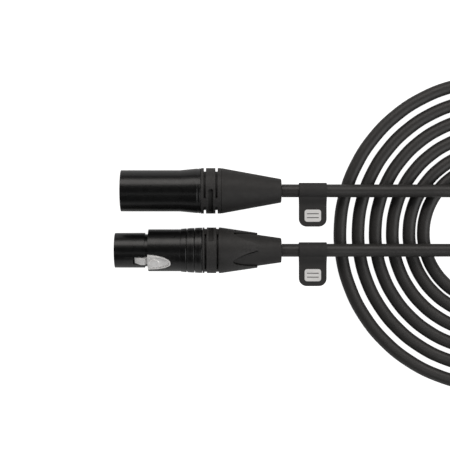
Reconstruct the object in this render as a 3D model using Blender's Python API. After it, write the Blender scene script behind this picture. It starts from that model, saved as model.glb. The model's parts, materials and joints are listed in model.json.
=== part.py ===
"""A microphone lead wound flat: one cord, with a male plug and a female plug side by side.

Run it in Blender: blender --background --python part.py
The plugs lie along +X, contacts towards -X, and the coil lies beyond them at +X. +Z is up and
the floor is z = 0. The origin is on the floor, under the middle of the plugs and tags.
Lengths are typed in millimetres and multiplied by MM. Along a plug, x is counted from its front.
"""

import math
from dataclasses import dataclass

import bmesh
import bpy
from mathutils import Matrix, Vector

MM = 0.001

# Where the two plugs lie, and how far both are rolled from latch-up towards -Y.
AXIS_HEIGHT = 10.5
MALE_FRONT_X = -46.5
MALE_Y = 16.7
FEMALE_FRONT_X = -48.7
FEMALE_Y = -10.7
ROLL = 37.0

# The cord and its coil.
CORD_R = 3.0
COIL_CENTRE = (126.6, -2.97)
COIL_INNER_R = 29.0
COIL_OUTER_R = 74.0
COIL_EDGE_R = 2.0
LEAD_OVER_COIL = 9.3
BEND_CENTRE = (148.7, 24.8)
BEND_R = 35.5
MALE_LEAD_SPACING = 8.0
FEMALE_LEAD_SPACING = 12.0

# Gaps between pieces that touch on the bench, and the turned pieces' number of sides.
GAP = 0.3
SIDES = 40
SMALL_SIDES = 12
COIL_STEPS = 60
SLOT_STEPS = 12
CORD_RESOLUTION = 4
FINE_STEPS = 20
WIRE_RESOLUTION = 2

# Plug bodies.
MALE_SHELL_R = 9.5
MALE_CUP_R = 8.25
MALE_SHELL_END = 37.1
MALE_CARRIER_FACE = 15.9
NOSE_R = 8.0
NOSE_BORE_R = 6.9
NOSE_END = 13.8
FEMALE_BODY_R = 9.65
FEMALE_BODY_START = 15.4
FEMALE_SHELL_END = 40.0
THREAD_BORE_R = 8.9
BUSHING_R = 10.5
BUSHING_BORE_R = 7.2
SLOT_FLOOR_R = 8.1

# The valleys between the socket plug's four petals: (x, half of the angle that a valley covers).
VALLEY = (
    (54.3, 1.5),
    (54.8, 5.5),
    (56.0, 11.0),
    (58.0, 17.5),
    (61.0, 25.5),
    (64.0, 32.5),
    (65.0, 37.0),
    (65.8, 44.0),
)
FIRST_VALLEY = -34.0

# Contacts: three round a circle, either side of the latch line and opposite it.
CONTACT_CIRCLE_R = 3.8
CONTACT_ANGLES = (70.0, -70.0, 180.0)
PIN_R = 1.2
CUP_R = 1.45
CUP_BORE_R = 1.05
CORE_R = 0.75
DRAIN_R = 0.6
WIRE_SPACING = 1.2
CLAMP_SIDES = 32
CLAMP_SLIT_HALF = 0.35

# Latch, in the rolled plug: x from the nose's front, y across, z outwards.
LATCH_PIVOT_X = 24.0
LATCH_PIVOT_R = 7.7
LATCH_PIN_R = 0.45
LATCH_PIN_HALF = 3.9
THUMB_START = 15.1
THUMB_LENGTH = 10.7
THUMB_HALF_WIDTH = 4.2
THUMB_TOP_R = 9.85
THUMB_THICKNESS = 1.5
POCKET_MARGIN = 0.35
HOOK_HALF_WIDTH = 1.85
LUG_HALF_WIDTH = 1.2
SPRING_HALF_WIDTH = 1.0
SPRING_THICKNESS = 0.25

# Tags folded round the two leads just behind the plugs.
TAG_START_X = 35.95
TAG_WIDTH = 12.75
TAG_LOOP_R = 3.2
TAG_STRAP = 0.5
TAG_TAIL = 16.5
TAG_CORNER_R = 2.6
PATCH_Y = -11.5
PATCH_SIZE = (7.8, 5.8)
PATCH_DEEP = 0.3
PATCH_CORNER_R = 1.2


@dataclass(frozen=True)
class Rear:
    """Where the cable-side pieces of one plug start and end, counted from the plug's front."""

    plug: str
    cup_start: float
    clamp_start: float
    clamp_end: float
    jacket_start: float
    boot_end: float


MALE_REAR = Rear("male", 28.0, 36.5, 47.4, 38.8, 74.3)
FEMALE_REAR = Rear("female", 27.3, 39.5, 50.8, 41.6, 76.5)


# ---------------------------------------------------------------- tools


def clear_scene():
    """Removes every object of the scene that Blender opened with."""
    for obj in list(bpy.data.objects):
        bpy.data.objects.remove(obj, do_unlink=True)


def finish_of(name, colour, roughness, metallic=0.0):
    """A plain material."""
    made = bpy.data.materials.new(name)
    made.use_nodes = True
    shader = made.node_tree.nodes["Principled BSDF"]
    shader.inputs["Base Color"].default_value = (*colour, 1.0)
    shader.inputs["Roughness"].default_value = roughness
    shader.inputs["Metallic"].default_value = metallic
    return made


def empty(name, place, parent=None, roll=0.0):
    """An empty at a place given in millimetres, rolled about X by an angle in degrees."""
    made = bpy.data.objects.new(name, None)
    bpy.context.scene.collection.objects.link(made)
    made.location = Vector(place) * MM
    made.rotation_euler = (math.radians(roll), 0.0, 0.0)
    made.parent = parent
    return made


def solid(name, bm, finish, parent=None):
    """Turns a bmesh drawn in millimetres into a named object with outward faces."""
    bmesh.ops.transform(bm, matrix=Matrix.Scale(MM, 4), verts=bm.verts)
    bmesh.ops.remove_doubles(bm, verts=bm.verts, dist=1e-7)
    bmesh.ops.recalc_face_normals(bm, faces=bm.faces)
    mesh = bpy.data.meshes.new(name)
    bm.to_mesh(mesh)
    bm.free()
    mesh.shade_smooth()
    mesh.set_sharp_from_angle(angle=math.radians(35))
    made = bpy.data.objects.new(name, mesh)
    bpy.context.scene.collection.objects.link(made)
    made.parent = parent
    if finish is not None:
        mesh.materials.append(finish)
    return made


def turned(name, outline, finish, parent=None, sides=SIDES, bore=True):
    """Spins an outline of (x, radius) points about X. One with no bore starts and ends on the axis."""
    bm = bmesh.new()
    ring = [bm.verts.new((x, 0.0, r)) for x, r in outline]
    ends = ring[1:] + ring[:1] if bore else ring[1:]
    edges = [bm.edges.new(pair) for pair in zip(ring, ends)]
    bmesh.ops.spin(
        bm,
        geom=ring + edges,
        cent=(0.0, 0.0, 0.0),
        axis=(1.0, 0.0, 0.0),
        angle=math.tau,
        steps=sides,
        use_merge=True,
    )
    bmesh.ops.remove_doubles(bm, verts=bm.verts, dist=1e-5)
    return solid(name, bm, finish, parent)


def loft(name, sections, finish, parent=None):
    """Skins a row of closed loops with the same number of points, and caps both ends."""
    bm = bmesh.new()
    rings = [[bm.verts.new(point) for point in section] for section in sections]
    count = len(rings[0])
    for near, far in zip(rings, rings[1:]):
        for i in range(count):
            j = (i + 1) % count
            bm.faces.new((near[i], near[j], far[j], far[i]))
    bm.faces.new(rings[0])
    bm.faces.new(rings[-1])
    return solid(name, bm, finish, parent)


def box(name, low, high, finish, parent=None):
    """A block between two corners."""
    (x0, y0, z0), (x1, y1, z1) = low, high
    near = [(x0, y0, z0), (x0, y1, z0), (x0, y1, z1), (x0, y0, z1)]
    far = [(x1, y, z) for _, y, z in near]
    return loft(name, [near, far], finish, parent)


def combine(target, other, operation="DIFFERENCE"):
    """Cuts another object from the target, or joins it on, with a Boolean. The other is then a guide."""
    modifier = target.modifiers.new(other.name, "BOOLEAN")
    modifier.operation = operation
    modifier.solver = "EXACT"
    modifier.object = other
    other.hide_render = True
    other.display_type = "WIRE"
    return target


def tube(name, points, radius, finish, resolution=WIRE_RESOLUTION):
    """A round bar along points given in millimetres, closed at both ends."""
    curve = bpy.data.curves.new(name, "CURVE")
    curve.dimensions = "3D"
    curve.bevel_depth = radius * MM
    curve.bevel_resolution = resolution
    curve.use_fill_caps = True
    spline = curve.splines.new("POLY")
    spline.points.add(len(points) - 1)
    for target, point in zip(spline.points, points):
        target.co = (*(Vector(point) * MM), 1.0)
    curve.materials.append(finish)
    made = bpy.data.objects.new(name, curve)
    bpy.context.scene.collection.objects.link(made)
    return made


def smooth_line(route, spacing):
    """Evenly spaced points on the smooth curve that passes through a route's points."""
    knots = [Vector(point) for point in route]
    knots = [2 * knots[0] - knots[1], *knots, 2 * knots[-1] - knots[-2]]
    fine = []
    for a, b, c, d in zip(knots, knots[1:], knots[2:], knots[3:]):
        slope = (c - a) / 2
        curve = a - 2.5 * b + 2 * c - 0.5 * d
        twist = 1.5 * (b - c) + (d - a) / 2
        for step in range(FINE_STEPS):
            t = step / FINE_STEPS
            fine.append(b + slope * t + curve * t**2 + twist * t**3)
    fine.append(knots[-2])
    travelled = [0.0]
    for near, far in zip(fine, fine[1:]):
        travelled.append(travelled[-1] + (far - near).length)
    count = round(travelled[-1] / spacing)
    points, i = [], 0
    for n in range(count + 1):
        wanted = travelled[-1] * n / count
        while i < len(fine) - 2 and travelled[i + 1] < wanted:
            i += 1
        share = (wanted - travelled[i]) / (travelled[i + 1] - travelled[i])
        points.append(fine[i].lerp(fine[i + 1], min(share, 1.0)))
    return points


def around(x, radius, angle):
    """The point at an angle about a plug's axis, from +Z towards +Y, in degrees."""
    turn = math.radians(angle)
    return (x, radius * math.sin(turn), radius * math.cos(turn))


def arc(centre, radius, start, end, steps):
    """Points of an arc in a plane, from one angle in degrees to another."""
    turns = [math.radians(start + (end - start) * n / steps) for n in range(steps + 1)]
    return [(centre[0] + radius * math.cos(t), centre[1] + radius * math.sin(t)) for t in turns]


# ---------------------------------------------------------------- cutters


def ring_slot(name, parent, x_middle, width, start, end, floor_r, round_ends=False):
    """A cutter for a slot that runs round a plug between two angles, down to a floor radius."""
    length = math.radians(end - start) * BUSHING_R
    sections = []
    for n in range(SLOT_STEPS + 1):
        share = n / SLOT_STEPS
        from_end = min(share, 1 - share) * length
        half = width / 2
        if round_ends and from_end < half:
            half *= max(0.3, math.sqrt(1 - (1 - from_end / half) ** 2))
        angle = start + (end - start) * share
        low, high = x_middle - half, x_middle + half
        sections.append(
            [
                around(low, floor_r, angle),
                around(high, floor_r, angle),
                around(high, BUSHING_R + 2, angle),
                around(low, BUSHING_R + 2, angle),
            ]
        )
    return loft(name, sections, None, parent)


def cut_groove_slots(bushing, parent, grooves, width, starts, span):
    """Cuts each groove of a bushing through to its slot floor, leaving bridges between the slots."""
    for g, x_middle in enumerate(grooves):
        for s, start in enumerate(starts):
            name = f"{bushing.name}_slot_{g}_{s}_cutter"
            combine(bushing, ring_slot(name, parent, x_middle, width, start, start + span, SLOT_FLOOR_R))


def thumb_outline(extra, steps=10):
    """Half-widths of the latch's leaf-shaped thumb piece along its length, grown by a margin."""
    length = THUMB_LENGTH + extra
    half = THUMB_HALF_WIDTH + extra
    stations = []
    for n in range(steps + 1):
        share = math.sin(math.radians(84.0) * n / steps)
        stations.append((THUMB_START + length * share, half * math.sqrt(1 - share**2)))
    return stations


# ---------------------------------------------------------------- male plug


def male_plug(looks):
    """The plug with pins: shell, contact carrier, pins, threaded bushing and boot."""
    plug = empty("male_plug", (MALE_FRONT_X, MALE_Y, AXIS_HEIGHT))
    rolled = empty("male_plug_roll", (0, 0, 0), plug, ROLL)

    shell = turned(
        "male_shell",
        [
            (0.0, MALE_SHELL_R - 0.4),
            (0.4, MALE_SHELL_R),
            (28.2, MALE_SHELL_R),
            (30.2, 9.66),
            (32.0, 9.84),
            (34.0, 10.05),
            (35.6, 10.24),
            (36.6, 10.28),
            (MALE_SHELL_END, 10.0),
            (MALE_SHELL_END, THREAD_BORE_R),
            (29.6, THREAD_BORE_R),
            (29.6, MALE_CUP_R),
            (0.4, MALE_CUP_R),
            (0.0, MALE_CUP_R + 0.4),
        ],
        looks["shell"],
        rolled,
    )
    recess = box("male_latch_recess_cutter", (1.0, -2.5, 7.0), (7.0, 2.5, 8.95), None, rolled)
    combine(shell, recess)
    key = box("male_key_guide", (8.0, -1.0, -MALE_CUP_R - 0.5), (15.6, 1.0, -7.3), None, rolled)
    combine(shell, key, "UNION")

    carrier_r = MALE_CUP_R - GAP
    carrier = turned(
        "male_contact_carrier",
        [
            (MALE_CARRIER_FACE, 0.0),
            (MALE_CARRIER_FACE, carrier_r - 0.3),
            (MALE_CARRIER_FACE + 0.3, carrier_r),
            (24.0, carrier_r),
            (24.0, 6.2),
            (27.0, 6.2),
            (27.0, 0.0),
        ],
        looks["insulator"],
        rolled,
        bore=False,
    )
    for number, angle in enumerate(CONTACT_ANGLES, 1):
        centre = empty(f"male_contact_{number}", around(0.0, CONTACT_CIRCLE_R, angle), rolled)
        turned(
            f"male_pin_{number}",
            [(1.3, 0.0), (1.35, 0.45), (1.65, 0.85), (2.3, PIN_R), (27.6, PIN_R), (28.0, CUP_R)]
            + [(32.0, CUP_R), (32.0, CUP_BORE_R), (28.6, CUP_BORE_R), (28.6, 0.0)],
            looks["contact"],
            centre,
            SMALL_SIDES,
            bore=False,
        )
        hole = turned(
            f"male_pin_{number}_cutter",
            [(10.0, 0.0), (10.0, PIN_R + GAP), (28.0, PIN_R + GAP), (28.0, 0.0)],
            None,
            centre,
            SMALL_SIDES,
            bore=False,
        )
        combine(carrier, hole)

    bushing = turned(
        "male_bushing",
        [
            (31.0, BUSHING_BORE_R),
            (31.0, 8.3),
            (31.3, 8.6),
            (37.4, 8.6),
            (37.4, 10.2),
            (37.7, BUSHING_R),
            (38.5, BUSHING_R),
            (38.5, 9.2),
            (40.4, 9.2),
            (40.4, BUSHING_R),
            (43.9, BUSHING_R),
            (43.9, 9.2),
            (45.8, 9.2),
            (45.8, BUSHING_R),
            (46.6, BUSHING_R),
            (46.6, 6.6),
            (60.0, 5.0),
            (60.0, CORD_R + 0.4),
            (49.0, CORD_R + 0.4),
            (47.6, 5.3),
            (38.0, BUSHING_BORE_R),
        ],
        looks["bushing"],
        plug,
    )
    cut_groove_slots(bushing, plug, (39.45, 44.85), 1.0, (-22.0, 158.0), 150.0)
    window = ring_slot("male_window_cutter", plug, 42.15, 2.0, -100.0, 3.0, 9.1, round_ends=True)
    combine(bushing, window)

    boot_r = BUSHING_R - 5.05
    turned(
        "male_boot",
        [
            (46.9, BUSHING_R),
            (MALE_REAR.boot_end - 0.5, boot_r + 0.1),
            (MALE_REAR.boot_end, boot_r - 0.4),
            (MALE_REAR.boot_end, CORD_R + GAP),
            (60.4, CORD_R + GAP),
            (60.4, 5.3),
            (46.9, 6.95),
        ],
        looks["boot"],
        plug,
    )


# ---------------------------------------------------------------- female plug


def female_plug(looks):
    """The plug with sockets: shell, contact carrier, sockets, earth spring, bushing and boot."""
    plug = empty("female_plug", (FEMALE_FRONT_X, FEMALE_Y, AXIS_HEIGHT))
    rolled = empty("female_plug_roll", (0, 0, 0), plug, ROLL)

    shell = turned(
        "female_shell",
        [
            (0.0, NOSE_R - 0.45),
            (0.45, NOSE_R),
            (NOSE_END - 0.3, NOSE_R),
            (NOSE_END, NOSE_R - 0.3),
            (NOSE_END, 7.4),
            (FEMALE_BODY_START, 7.4),
            (FEMALE_BODY_START, FEMALE_BODY_R - 0.3),
            (FEMALE_BODY_START + 0.3, FEMALE_BODY_R),
            (29.7, FEMALE_BODY_R),
            (29.7, 9.8),
            (32.9, 9.92),
            (33.0, 9.85),
            (36.8, 10.1),
            (36.9, 10.0),
            (39.5, 10.25),
            (FEMALE_SHELL_END, 10.0),
            (FEMALE_SHELL_END, THREAD_BORE_R),
            (31.8, THREAD_BORE_R),
            (31.8, 7.6),
            (27.3, 7.6),
            (27.3, NOSE_BORE_R),
            (0.3, NOSE_BORE_R),
            (0.0, NOSE_BORE_R + 0.3),
        ],
        looks["shell"],
        rolled,
    )
    combine(shell, box("latch_window_cutter", (8.2, -2.3, 6.0), (15.6, 2.3, 9.5), None, rolled))
    floor, top = 5.5, 11.0
    pocket = []
    for x, half in thumb_outline(POCKET_MARGIN):
        pocket.append([(x, -half, floor), (x, half, floor), (x, half, top), (x, -half, top)])
    combine(shell, loft("latch_pocket_cutter", pocket, None, rolled))
    pin_hole = pivot_bar("latch_pin_hole_cutter", LATCH_PIN_R + GAP, LATCH_PIN_HALF + GAP, None, rolled)
    combine(shell, pin_hole)
    combine(shell, box("keyway_cutter", (-1.0, -1.3, -9.0), (8.5, 1.3, -6.0), None, rolled))

    carrier = turned(
        "female_contact_carrier",
        [(0.6, 0.0), (0.6, 6.3), (0.9, 6.6), (26.8, 6.6), (26.8, 0.0)],
        looks["insulator"],
        rolled,
        bore=False,
    )
    combine(carrier, box("carrier_slot_cutter", (7.5, -2.4, 5.6), (28.0, 2.4, 8.0), None, rolled))
    for number, angle in enumerate(CONTACT_ANGLES, 1):
        centre = empty(f"female_contact_{number}", around(0.0, CONTACT_CIRCLE_R, angle), rolled)
        start = 2.1 if number == 1 else 2.6
        turned(
            f"female_socket_{number}",
            [(24.0, 0.0), (24.0, 1.3), (start, 1.3), (start, 1.6), (26.0, 1.6), (26.0, CUP_R)]
            + [(31.3, CUP_R), (31.3, CUP_BORE_R), (27.9, CUP_BORE_R), (27.9, 0.0)],
            looks["contact"],
            centre,
            SMALL_SIDES,
            bore=False,
        )
        hole = turned(
            f"female_socket_{number}_cutter",
            [(-1.0, 0.0), (-1.0, 1.4), (start - GAP, 1.4), (start - GAP, 1.9), (28.0, 1.9), (28.0, 0.0)],
            None,
            centre,
            SMALL_SIDES,
            bore=False,
        )
        combine(carrier, hole)

    clip = [
        [around(28.0, r, a), around(31.0, r, a), around(31.0, r + 0.3, a), around(28.0, r + 0.3, a)]
        for r, a in [(6.95, 45.0 + 270.0 * n / 24) for n in range(25)]
    ]
    loft("female_earth_spring", clip, looks["spring"], rolled)

    cone_start, petal_end = 48.8, 65.5
    bushing = turned(
        "female_bushing",
        [
            (33.0, BUSHING_BORE_R),
            (33.0, 8.3),
            (33.3, 8.6),
            (40.1 + GAP, 8.6),
            (40.1 + GAP, 10.2),
            (40.4 + GAP, BUSHING_R),
            (41.3, BUSHING_R),
            (41.3, 10.0),
            (42.7, 10.0),
            (42.7, BUSHING_R),
            (46.4, BUSHING_R),
            (46.4, 10.0),
            (47.9, 10.0),
            (47.9, BUSHING_R),
            (cone_start, BUSHING_R),
            (petal_end, 8.04),
            (petal_end, 7.5),
            (cone_start + 0.7, 9.85),
            (cone_start + 0.7, 5.6),
            (41.0, BUSHING_BORE_R),
        ],
        looks["bushing"],
        plug,
    )
    cut_groove_slots(bushing, plug, (42.0, 47.15), 0.7, (-105.0, 75.0), 153.0)
    window = ring_slot("female_window_cutter", plug, 44.55, 2.1, 24.0, 126.0, 9.1, round_ends=True)
    combine(bushing, window)
    for number in range(4):
        middle = FIRST_VALLEY + 90.0 * number
        leaf = []
        for x, half in VALLEY:
            leaf.append(
                [
                    around(x, 6.6, middle - half),
                    around(x, 6.6, middle + half),
                    around(x, 14.0, middle + half),
                    around(x, 14.0, middle - half),
                ]
            )
        combine(bushing, loft(f"petal_gap_{number}_cutter", leaf, None, plug))

    turned(
        "female_boot",
        [
            (cone_start + 1.0, 9.5),
            (petal_end, 7.2),
            (FEMALE_REAR.boot_end - 0.5, 5.7),
            (FEMALE_REAR.boot_end, 5.2),
            (FEMALE_REAR.boot_end, CORD_R + GAP),
            (52.0, CORD_R + GAP),
            (51.1, 5.3),
            (cone_start + 1.0, 5.6),
        ],
        looks["boot"],
        plug,
    )
    latch_group(looks, rolled)


def pivot_bar(name, radius, half, finish, parent):
    """A round bar across the plug, centred on the latch's pivot."""
    ends = arc((LATCH_PIVOT_X, LATCH_PIVOT_R), radius, 0, 330, 11)
    return loft(name, [[(x, y, z) for x, z in ends] for y in (-half, half)], finish, parent)


def latch_group(looks, rolled):
    """The sprung latch, its pivot pin and its leaf spring. The latch's origin is on its hinge axis."""
    hinge = empty("latch_hinge", (LATCH_PIVOT_X, 0.0, LATCH_PIVOT_R), rolled)

    def from_hinge(point):
        return (point[0] - LATCH_PIVOT_X, point[1], point[2] - LATCH_PIVOT_R)

    sections = []
    for x, half in thumb_outline(0.0):
        ys = [half * n / 3 for n in range(-3, 4)]
        top = [(x, y, math.sqrt(THUMB_TOP_R**2 - y**2)) for y in ys]
        under = [(x, y, z - THUMB_THICKNESS) for _, y, z in reversed(top)]
        sections.append([from_hinge(point) for point in top + under])
    latch = loft("latch", sections, looks["latch"], hinge)

    hook_side = [(9.0, 7.1), (16.4, 7.1), (16.4, 8.6), (14.6, 8.15), (14.2, 8.15)]
    hook_side += [(14.2, 8.65), (12.6, 8.75), (9.0, 7.75)]
    hook = [[from_hinge((x, y, z)) for x, z in hook_side] for y in (-HOOK_HALF_WIDTH, HOOK_HALF_WIDTH)]
    combine(latch, loft("latch_hook_guide", hook, None, hinge), "UNION")
    lug = [(22.4, 9.0), (22.6, 6.6), (23.2, 6.2), (24.9, 6.2), (25.2, 6.7), (25.2, 9.0)]
    lug_sides = [[from_hinge((x, y, z)) for x, z in lug] for y in (-LUG_HALF_WIDTH, LUG_HALF_WIDTH)]
    combine(latch, loft("latch_lug_guide", lug_sides, None, hinge), "UNION")
    hole = arc((0.0, 0.0), LATCH_PIN_R + GAP, 0, 330, 11)
    combine(latch, loft("latch_bore_cutter", [[(x, y, z) for x, z in hole] for y in (-4, 4)], None, hinge))

    pivot_bar("latch_pivot_pin", LATCH_PIN_R, LATCH_PIN_HALF, looks["contact"], rolled)

    leaf = [(21.8, 5.95), (20.6, 5.95), (19.6, 6.2), (18.2, 7.0), (17.0, 7.65), (16.6, 7.7)]
    half = SPRING_HALF_WIDTH
    strip = []
    for x, z in leaf:
        over = z + SPRING_THICKNESS
        strip.append([(x, -half, z), (x, half, z), (x, half, over), (x, -half, over)])
    loft("latch_spring", strip, looks["spring"], rolled)


# ---------------------------------------------------------------- cable side of both plugs


def cable_side(rear, front_x, axis_y, looks):
    """The clamp, the cable's end and its three wires, inside the rear of one plug."""
    place = empty(f"{rear.plug}_cable_side", (front_x, axis_y, AXIS_HEIGHT))
    clamp = turned(
        f"{rear.plug}_cable_clamp",
        [
            (rear.clamp_start, CORD_R + GAP),
            (rear.clamp_start, 6.2),
            (rear.clamp_start + 1.0, 6.7),
            (rear.clamp_end - 1.0, 4.95),
            (rear.clamp_end, 4.6),
            (rear.clamp_end, CORD_R + GAP),
        ],
        looks["clamp"],
        place,
        CLAMP_SIDES,
    )
    for number in range(4):
        turn = 45.0 + 90.0 * number
        low, high = around(0, 2.0, turn), around(0, 9.0, turn)
        side = Vector(around(0, CLAMP_SLIT_HALF, turn + 90))
        corners = [Vector(low) - side, Vector(high) - side, Vector(high) + side, Vector(low) + side]
        ends = [
            [corner + Vector((x, 0, 0)) for corner in corners]
            for x in (rear.clamp_start - 1.0, rear.clamp_end - 3.5)
        ]
        combine(clamp, loft(f"{rear.plug}_clamp_slit_{number}_cutter", ends, None, place))

    def in_row(point):
        return Vector(point) + Vector((front_x, axis_y, AXIS_HEIGHT))

    ends = [in_row((rear.jacket_start, 0, 0)), in_row((rear.boot_end, 0, 0))]
    tube(f"{rear.plug}_jacket_end", ends, CORD_R, looks["cord"], CORD_RESOLUTION)

    wires = [("drain_wire", DRAIN_R, "drain")]
    wires += [("core_hot", CORE_R, "core_red"), ("core_cold", CORE_R, "core_white")]
    for (wire, radius, look), angle in zip(wires, CONTACT_ANGLES):
        turn = angle - ROLL
        start = rear.cup_start + 2.2
        last = rear.jacket_start - GAP
        route = [
            around(start, CONTACT_CIRCLE_R, turn),
            around(start + 2.5, CONTACT_CIRCLE_R, turn),
            around(start + 4.2, 2.9, turn),
            around(last - 2.4, 1.75, turn),
            around(last, 1.6, turn),
        ]
        points = [in_row(point) for point in smooth_line(route, WIRE_SPACING)]
        tube(f"{rear.plug}_{wire}", points, radius, looks[look])


# ---------------------------------------------------------------- tags


def tag(name, axis_y, looks):
    """A strap folded round the lead, its two ends joined as a flat tail, with a write-on patch."""
    hinge = empty(f"{name}_hinge", (0.0, axis_y, AXIS_HEIGHT))
    outer_r = TAG_LOOP_R + TAG_STRAP
    neck = [(-4.2, 1.9), (-5.3, 0.9), (-6.6, TAG_STRAP)]
    outline = arc((0, 0), outer_r, -125, 125, 20) + neck
    outline += [(-TAG_TAIL, TAG_STRAP), (-TAG_TAIL, -TAG_STRAP)] + [(y, -z) for y, z in reversed(neck)]
    ends = (TAG_START_X, TAG_START_X + TAG_WIDTH)
    strap = loft(f"{name}_strap", [[(x, y, z) for y, z in outline] for x in ends], looks["tag"], hinge)
    round_corners(strap, lambda v: v.y < (0.01 - TAG_TAIL) * MM)

    eye = arc((0, 0), TAG_LOOP_R, -128, 128, 20)
    eye += [(-3.9, 1.25), (-4.9, 0.2), (-4.9, -0.2), (-3.9, -1.25)]
    eye_sections = [[(x, y, z) for y, z in eye] for x in (ends[0] - 1, ends[1] + 1)]
    combine(strap, loft(f"{name}_eye_cutter", eye_sections, None, hinge))

    middle_x = TAG_START_X + TAG_WIDTH / 2
    floor = TAG_STRAP - PATCH_DEEP - 0.05
    pocket = plate(f"{name}_pocket_cutter", middle_x, 0.2, floor, 2.0, None, hinge)
    combine(strap, pocket)
    plate(f"{name}_patch", middle_x, 0.0, floor + 0.15, floor + 0.15 + PATCH_DEEP, looks["patch"], hinge)


def plate(name, middle_x, margin, low, high, finish, parent):
    """A flat plate with round corners, lying on a tag's tail."""
    half_x, half_y = PATCH_SIZE[0] / 2 + margin, PATCH_SIZE[1] / 2 + margin
    corner = PATCH_CORNER_R + margin
    outline = []
    for sx, sy, start in ((1, 1, 0), (-1, 1, 90), (-1, -1, 180), (1, -1, 270)):
        centre = (middle_x + sx * (half_x - corner), PATCH_Y + sy * (half_y - corner))
        outline += arc(centre, corner, start, start + 90, 4)
    return loft(name, [[(x, y, z) for x, y in outline] for z in (low, high)], finish, parent)


def round_corners(strap, at_tail_end):
    """Rounds the two upright edges at a tag's tail end."""
    bm = bmesh.new()
    bm.from_mesh(strap.data)
    corners = [
        edge
        for edge in bm.edges
        if all(at_tail_end(v.co) for v in edge.verts)
        and abs(edge.verts[0].co.x - edge.verts[1].co.x) < 1e-6
    ]
    bmesh.ops.bevel(bm, geom=corners, offset=TAG_CORNER_R * MM, segments=6, affect="EDGES", profile=0.5)
    bm.to_mesh(strap.data)
    bm.free()


# ---------------------------------------------------------------- cord


def cord(looks):
    """The coil's solid, a turned ring, and the two leads that lie over it."""
    edge = COIL_EDGE_R
    ring = [(COIL_INNER_R + edge, 0.0), (COIL_OUTER_R - edge, 0.0)]
    ring += arc((COIL_OUTER_R - edge, edge), edge, -45, 0, 1)
    ring += arc((COIL_OUTER_R - edge, 2 * CORD_R - edge), edge, 0, 90, 2)
    ring += arc((COIL_INNER_R + edge, 2 * CORD_R - edge), edge, 90, 180, 2)
    ring += arc((COIL_INNER_R + edge, edge), edge, 180, 225, 1)
    bm = bmesh.new()
    verts = [bm.verts.new((r, 0.0, z)) for r, z in ring]
    edges = [bm.edges.new(pair) for pair in zip(verts, verts[1:] + verts[:1])]
    bmesh.ops.spin(
        bm,
        geom=verts + edges,
        cent=(0.0, 0.0, 0.0),
        axis=(0.0, 0.0, 1.0),
        angle=math.tau,
        steps=COIL_STEPS,
        use_merge=True,
    )
    bmesh.ops.remove_doubles(bm, verts=bm.verts, dist=1e-5)
    coil = solid("cord_coil", bm, looks["cord"])
    coil.location = Vector((*COIL_CENTRE, 0.0)) * MM

    lead_start = MALE_FRONT_X + MALE_REAR.boot_end + GAP
    male_route = [
        (lead_start, MALE_Y, AXIS_HEIGHT),
        (39.0, MALE_Y, AXIS_HEIGHT),
        (50.0, MALE_Y, AXIS_HEIGHT - 0.05),
        (62.0, MALE_Y, 9.65),
        (75.0, MALE_Y, LEAD_OVER_COIL),
        (90.0, MALE_Y, LEAD_OVER_COIL),
        (104.0, MALE_Y, LEAD_OVER_COIL),
        (113.0, MALE_Y - 0.1, 8.7),
        (121.2, MALE_Y - 0.4, 7.4),
        (129.0, MALE_Y - 1.0, 6.0),
        (136.2, 14.2, 4.7),
        (142.8, 10.6, 3.7),
        (147.8, 5.6, 3.15),
        (151.6, 1.4, CORD_R),
    ]
    male_line = smooth_line(male_route, MALE_LEAD_SPACING)
    tube("cord_lead_male", male_line, CORD_R, looks["cord"], CORD_RESOLUTION)

    female_route = [
        (lead_start, FEMALE_Y, AXIS_HEIGHT),
        (39.0, FEMALE_Y, AXIS_HEIGHT),
        (50.0, FEMALE_Y, AXIS_HEIGHT - 0.05),
        (62.0, FEMALE_Y, 9.65),
        (75.0, FEMALE_Y, LEAD_OVER_COIL),
        (90.0, FEMALE_Y, LEAD_OVER_COIL),
        (106.0, FEMALE_Y, LEAD_OVER_COIL),
        (122.0, FEMALE_Y, LEAD_OVER_COIL),
        (136.0, FEMALE_Y, LEAD_OVER_COIL),
    ]
    female_route += [(x, y, LEAD_OVER_COIL) for x, y in arc(BEND_CENTRE, BEND_R, -90, 50, 9)]
    female_line = smooth_line(female_route, FEMALE_LEAD_SPACING)
    tube("cord_lead_female", female_line, CORD_R, looks["cord"], CORD_RESOLUTION)


def main():
    """Builds every piece of the lead."""
    clear_scene()
    looks = {
        "shell": finish_of("shell_black", (0.012, 0.012, 0.013), 0.42, 0.6),
        "bushing": finish_of("bushing_black", (0.035, 0.034, 0.033), 0.5),
        "boot": finish_of("boot_rubber", (0.035, 0.034, 0.033), 0.6),
        "insulator": finish_of("insulator_black", (0.02, 0.02, 0.022), 0.5),
        "contact": finish_of("contact_silver", (0.78, 0.76, 0.72), 0.25, 1.0),
        "latch": finish_of("latch_nickel", (0.72, 0.71, 0.7), 0.3, 1.0),
        "spring": finish_of("spring_steel", (0.55, 0.55, 0.55), 0.35, 1.0),
        "clamp": finish_of("clamp_grey", (0.2, 0.2, 0.2), 0.5),
        "cord": finish_of("cord_jacket", (0.03, 0.029, 0.029), 0.55),
        "core_red": finish_of("core_red", (0.5, 0.03, 0.03), 0.45),
        "core_white": finish_of("core_white", (0.75, 0.74, 0.72), 0.45),
        "drain": finish_of("drain_copper", (0.72, 0.45, 0.32), 0.35, 1.0),
        "tag": finish_of("tag_charcoal", (0.045, 0.044, 0.044), 0.8),
        "patch": finish_of("patch_light", (0.7, 0.68, 0.67), 0.6),
    }
    male_plug(looks)
    female_plug(looks)
    cable_side(MALE_REAR, MALE_FRONT_X, MALE_Y, looks)
    cable_side(FEMALE_REAR, FEMALE_FRONT_X, FEMALE_Y, looks)
    tag("male_tag", MALE_Y, looks)
    tag("female_tag", FEMALE_Y, looks)
    cord(looks)


main()
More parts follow.
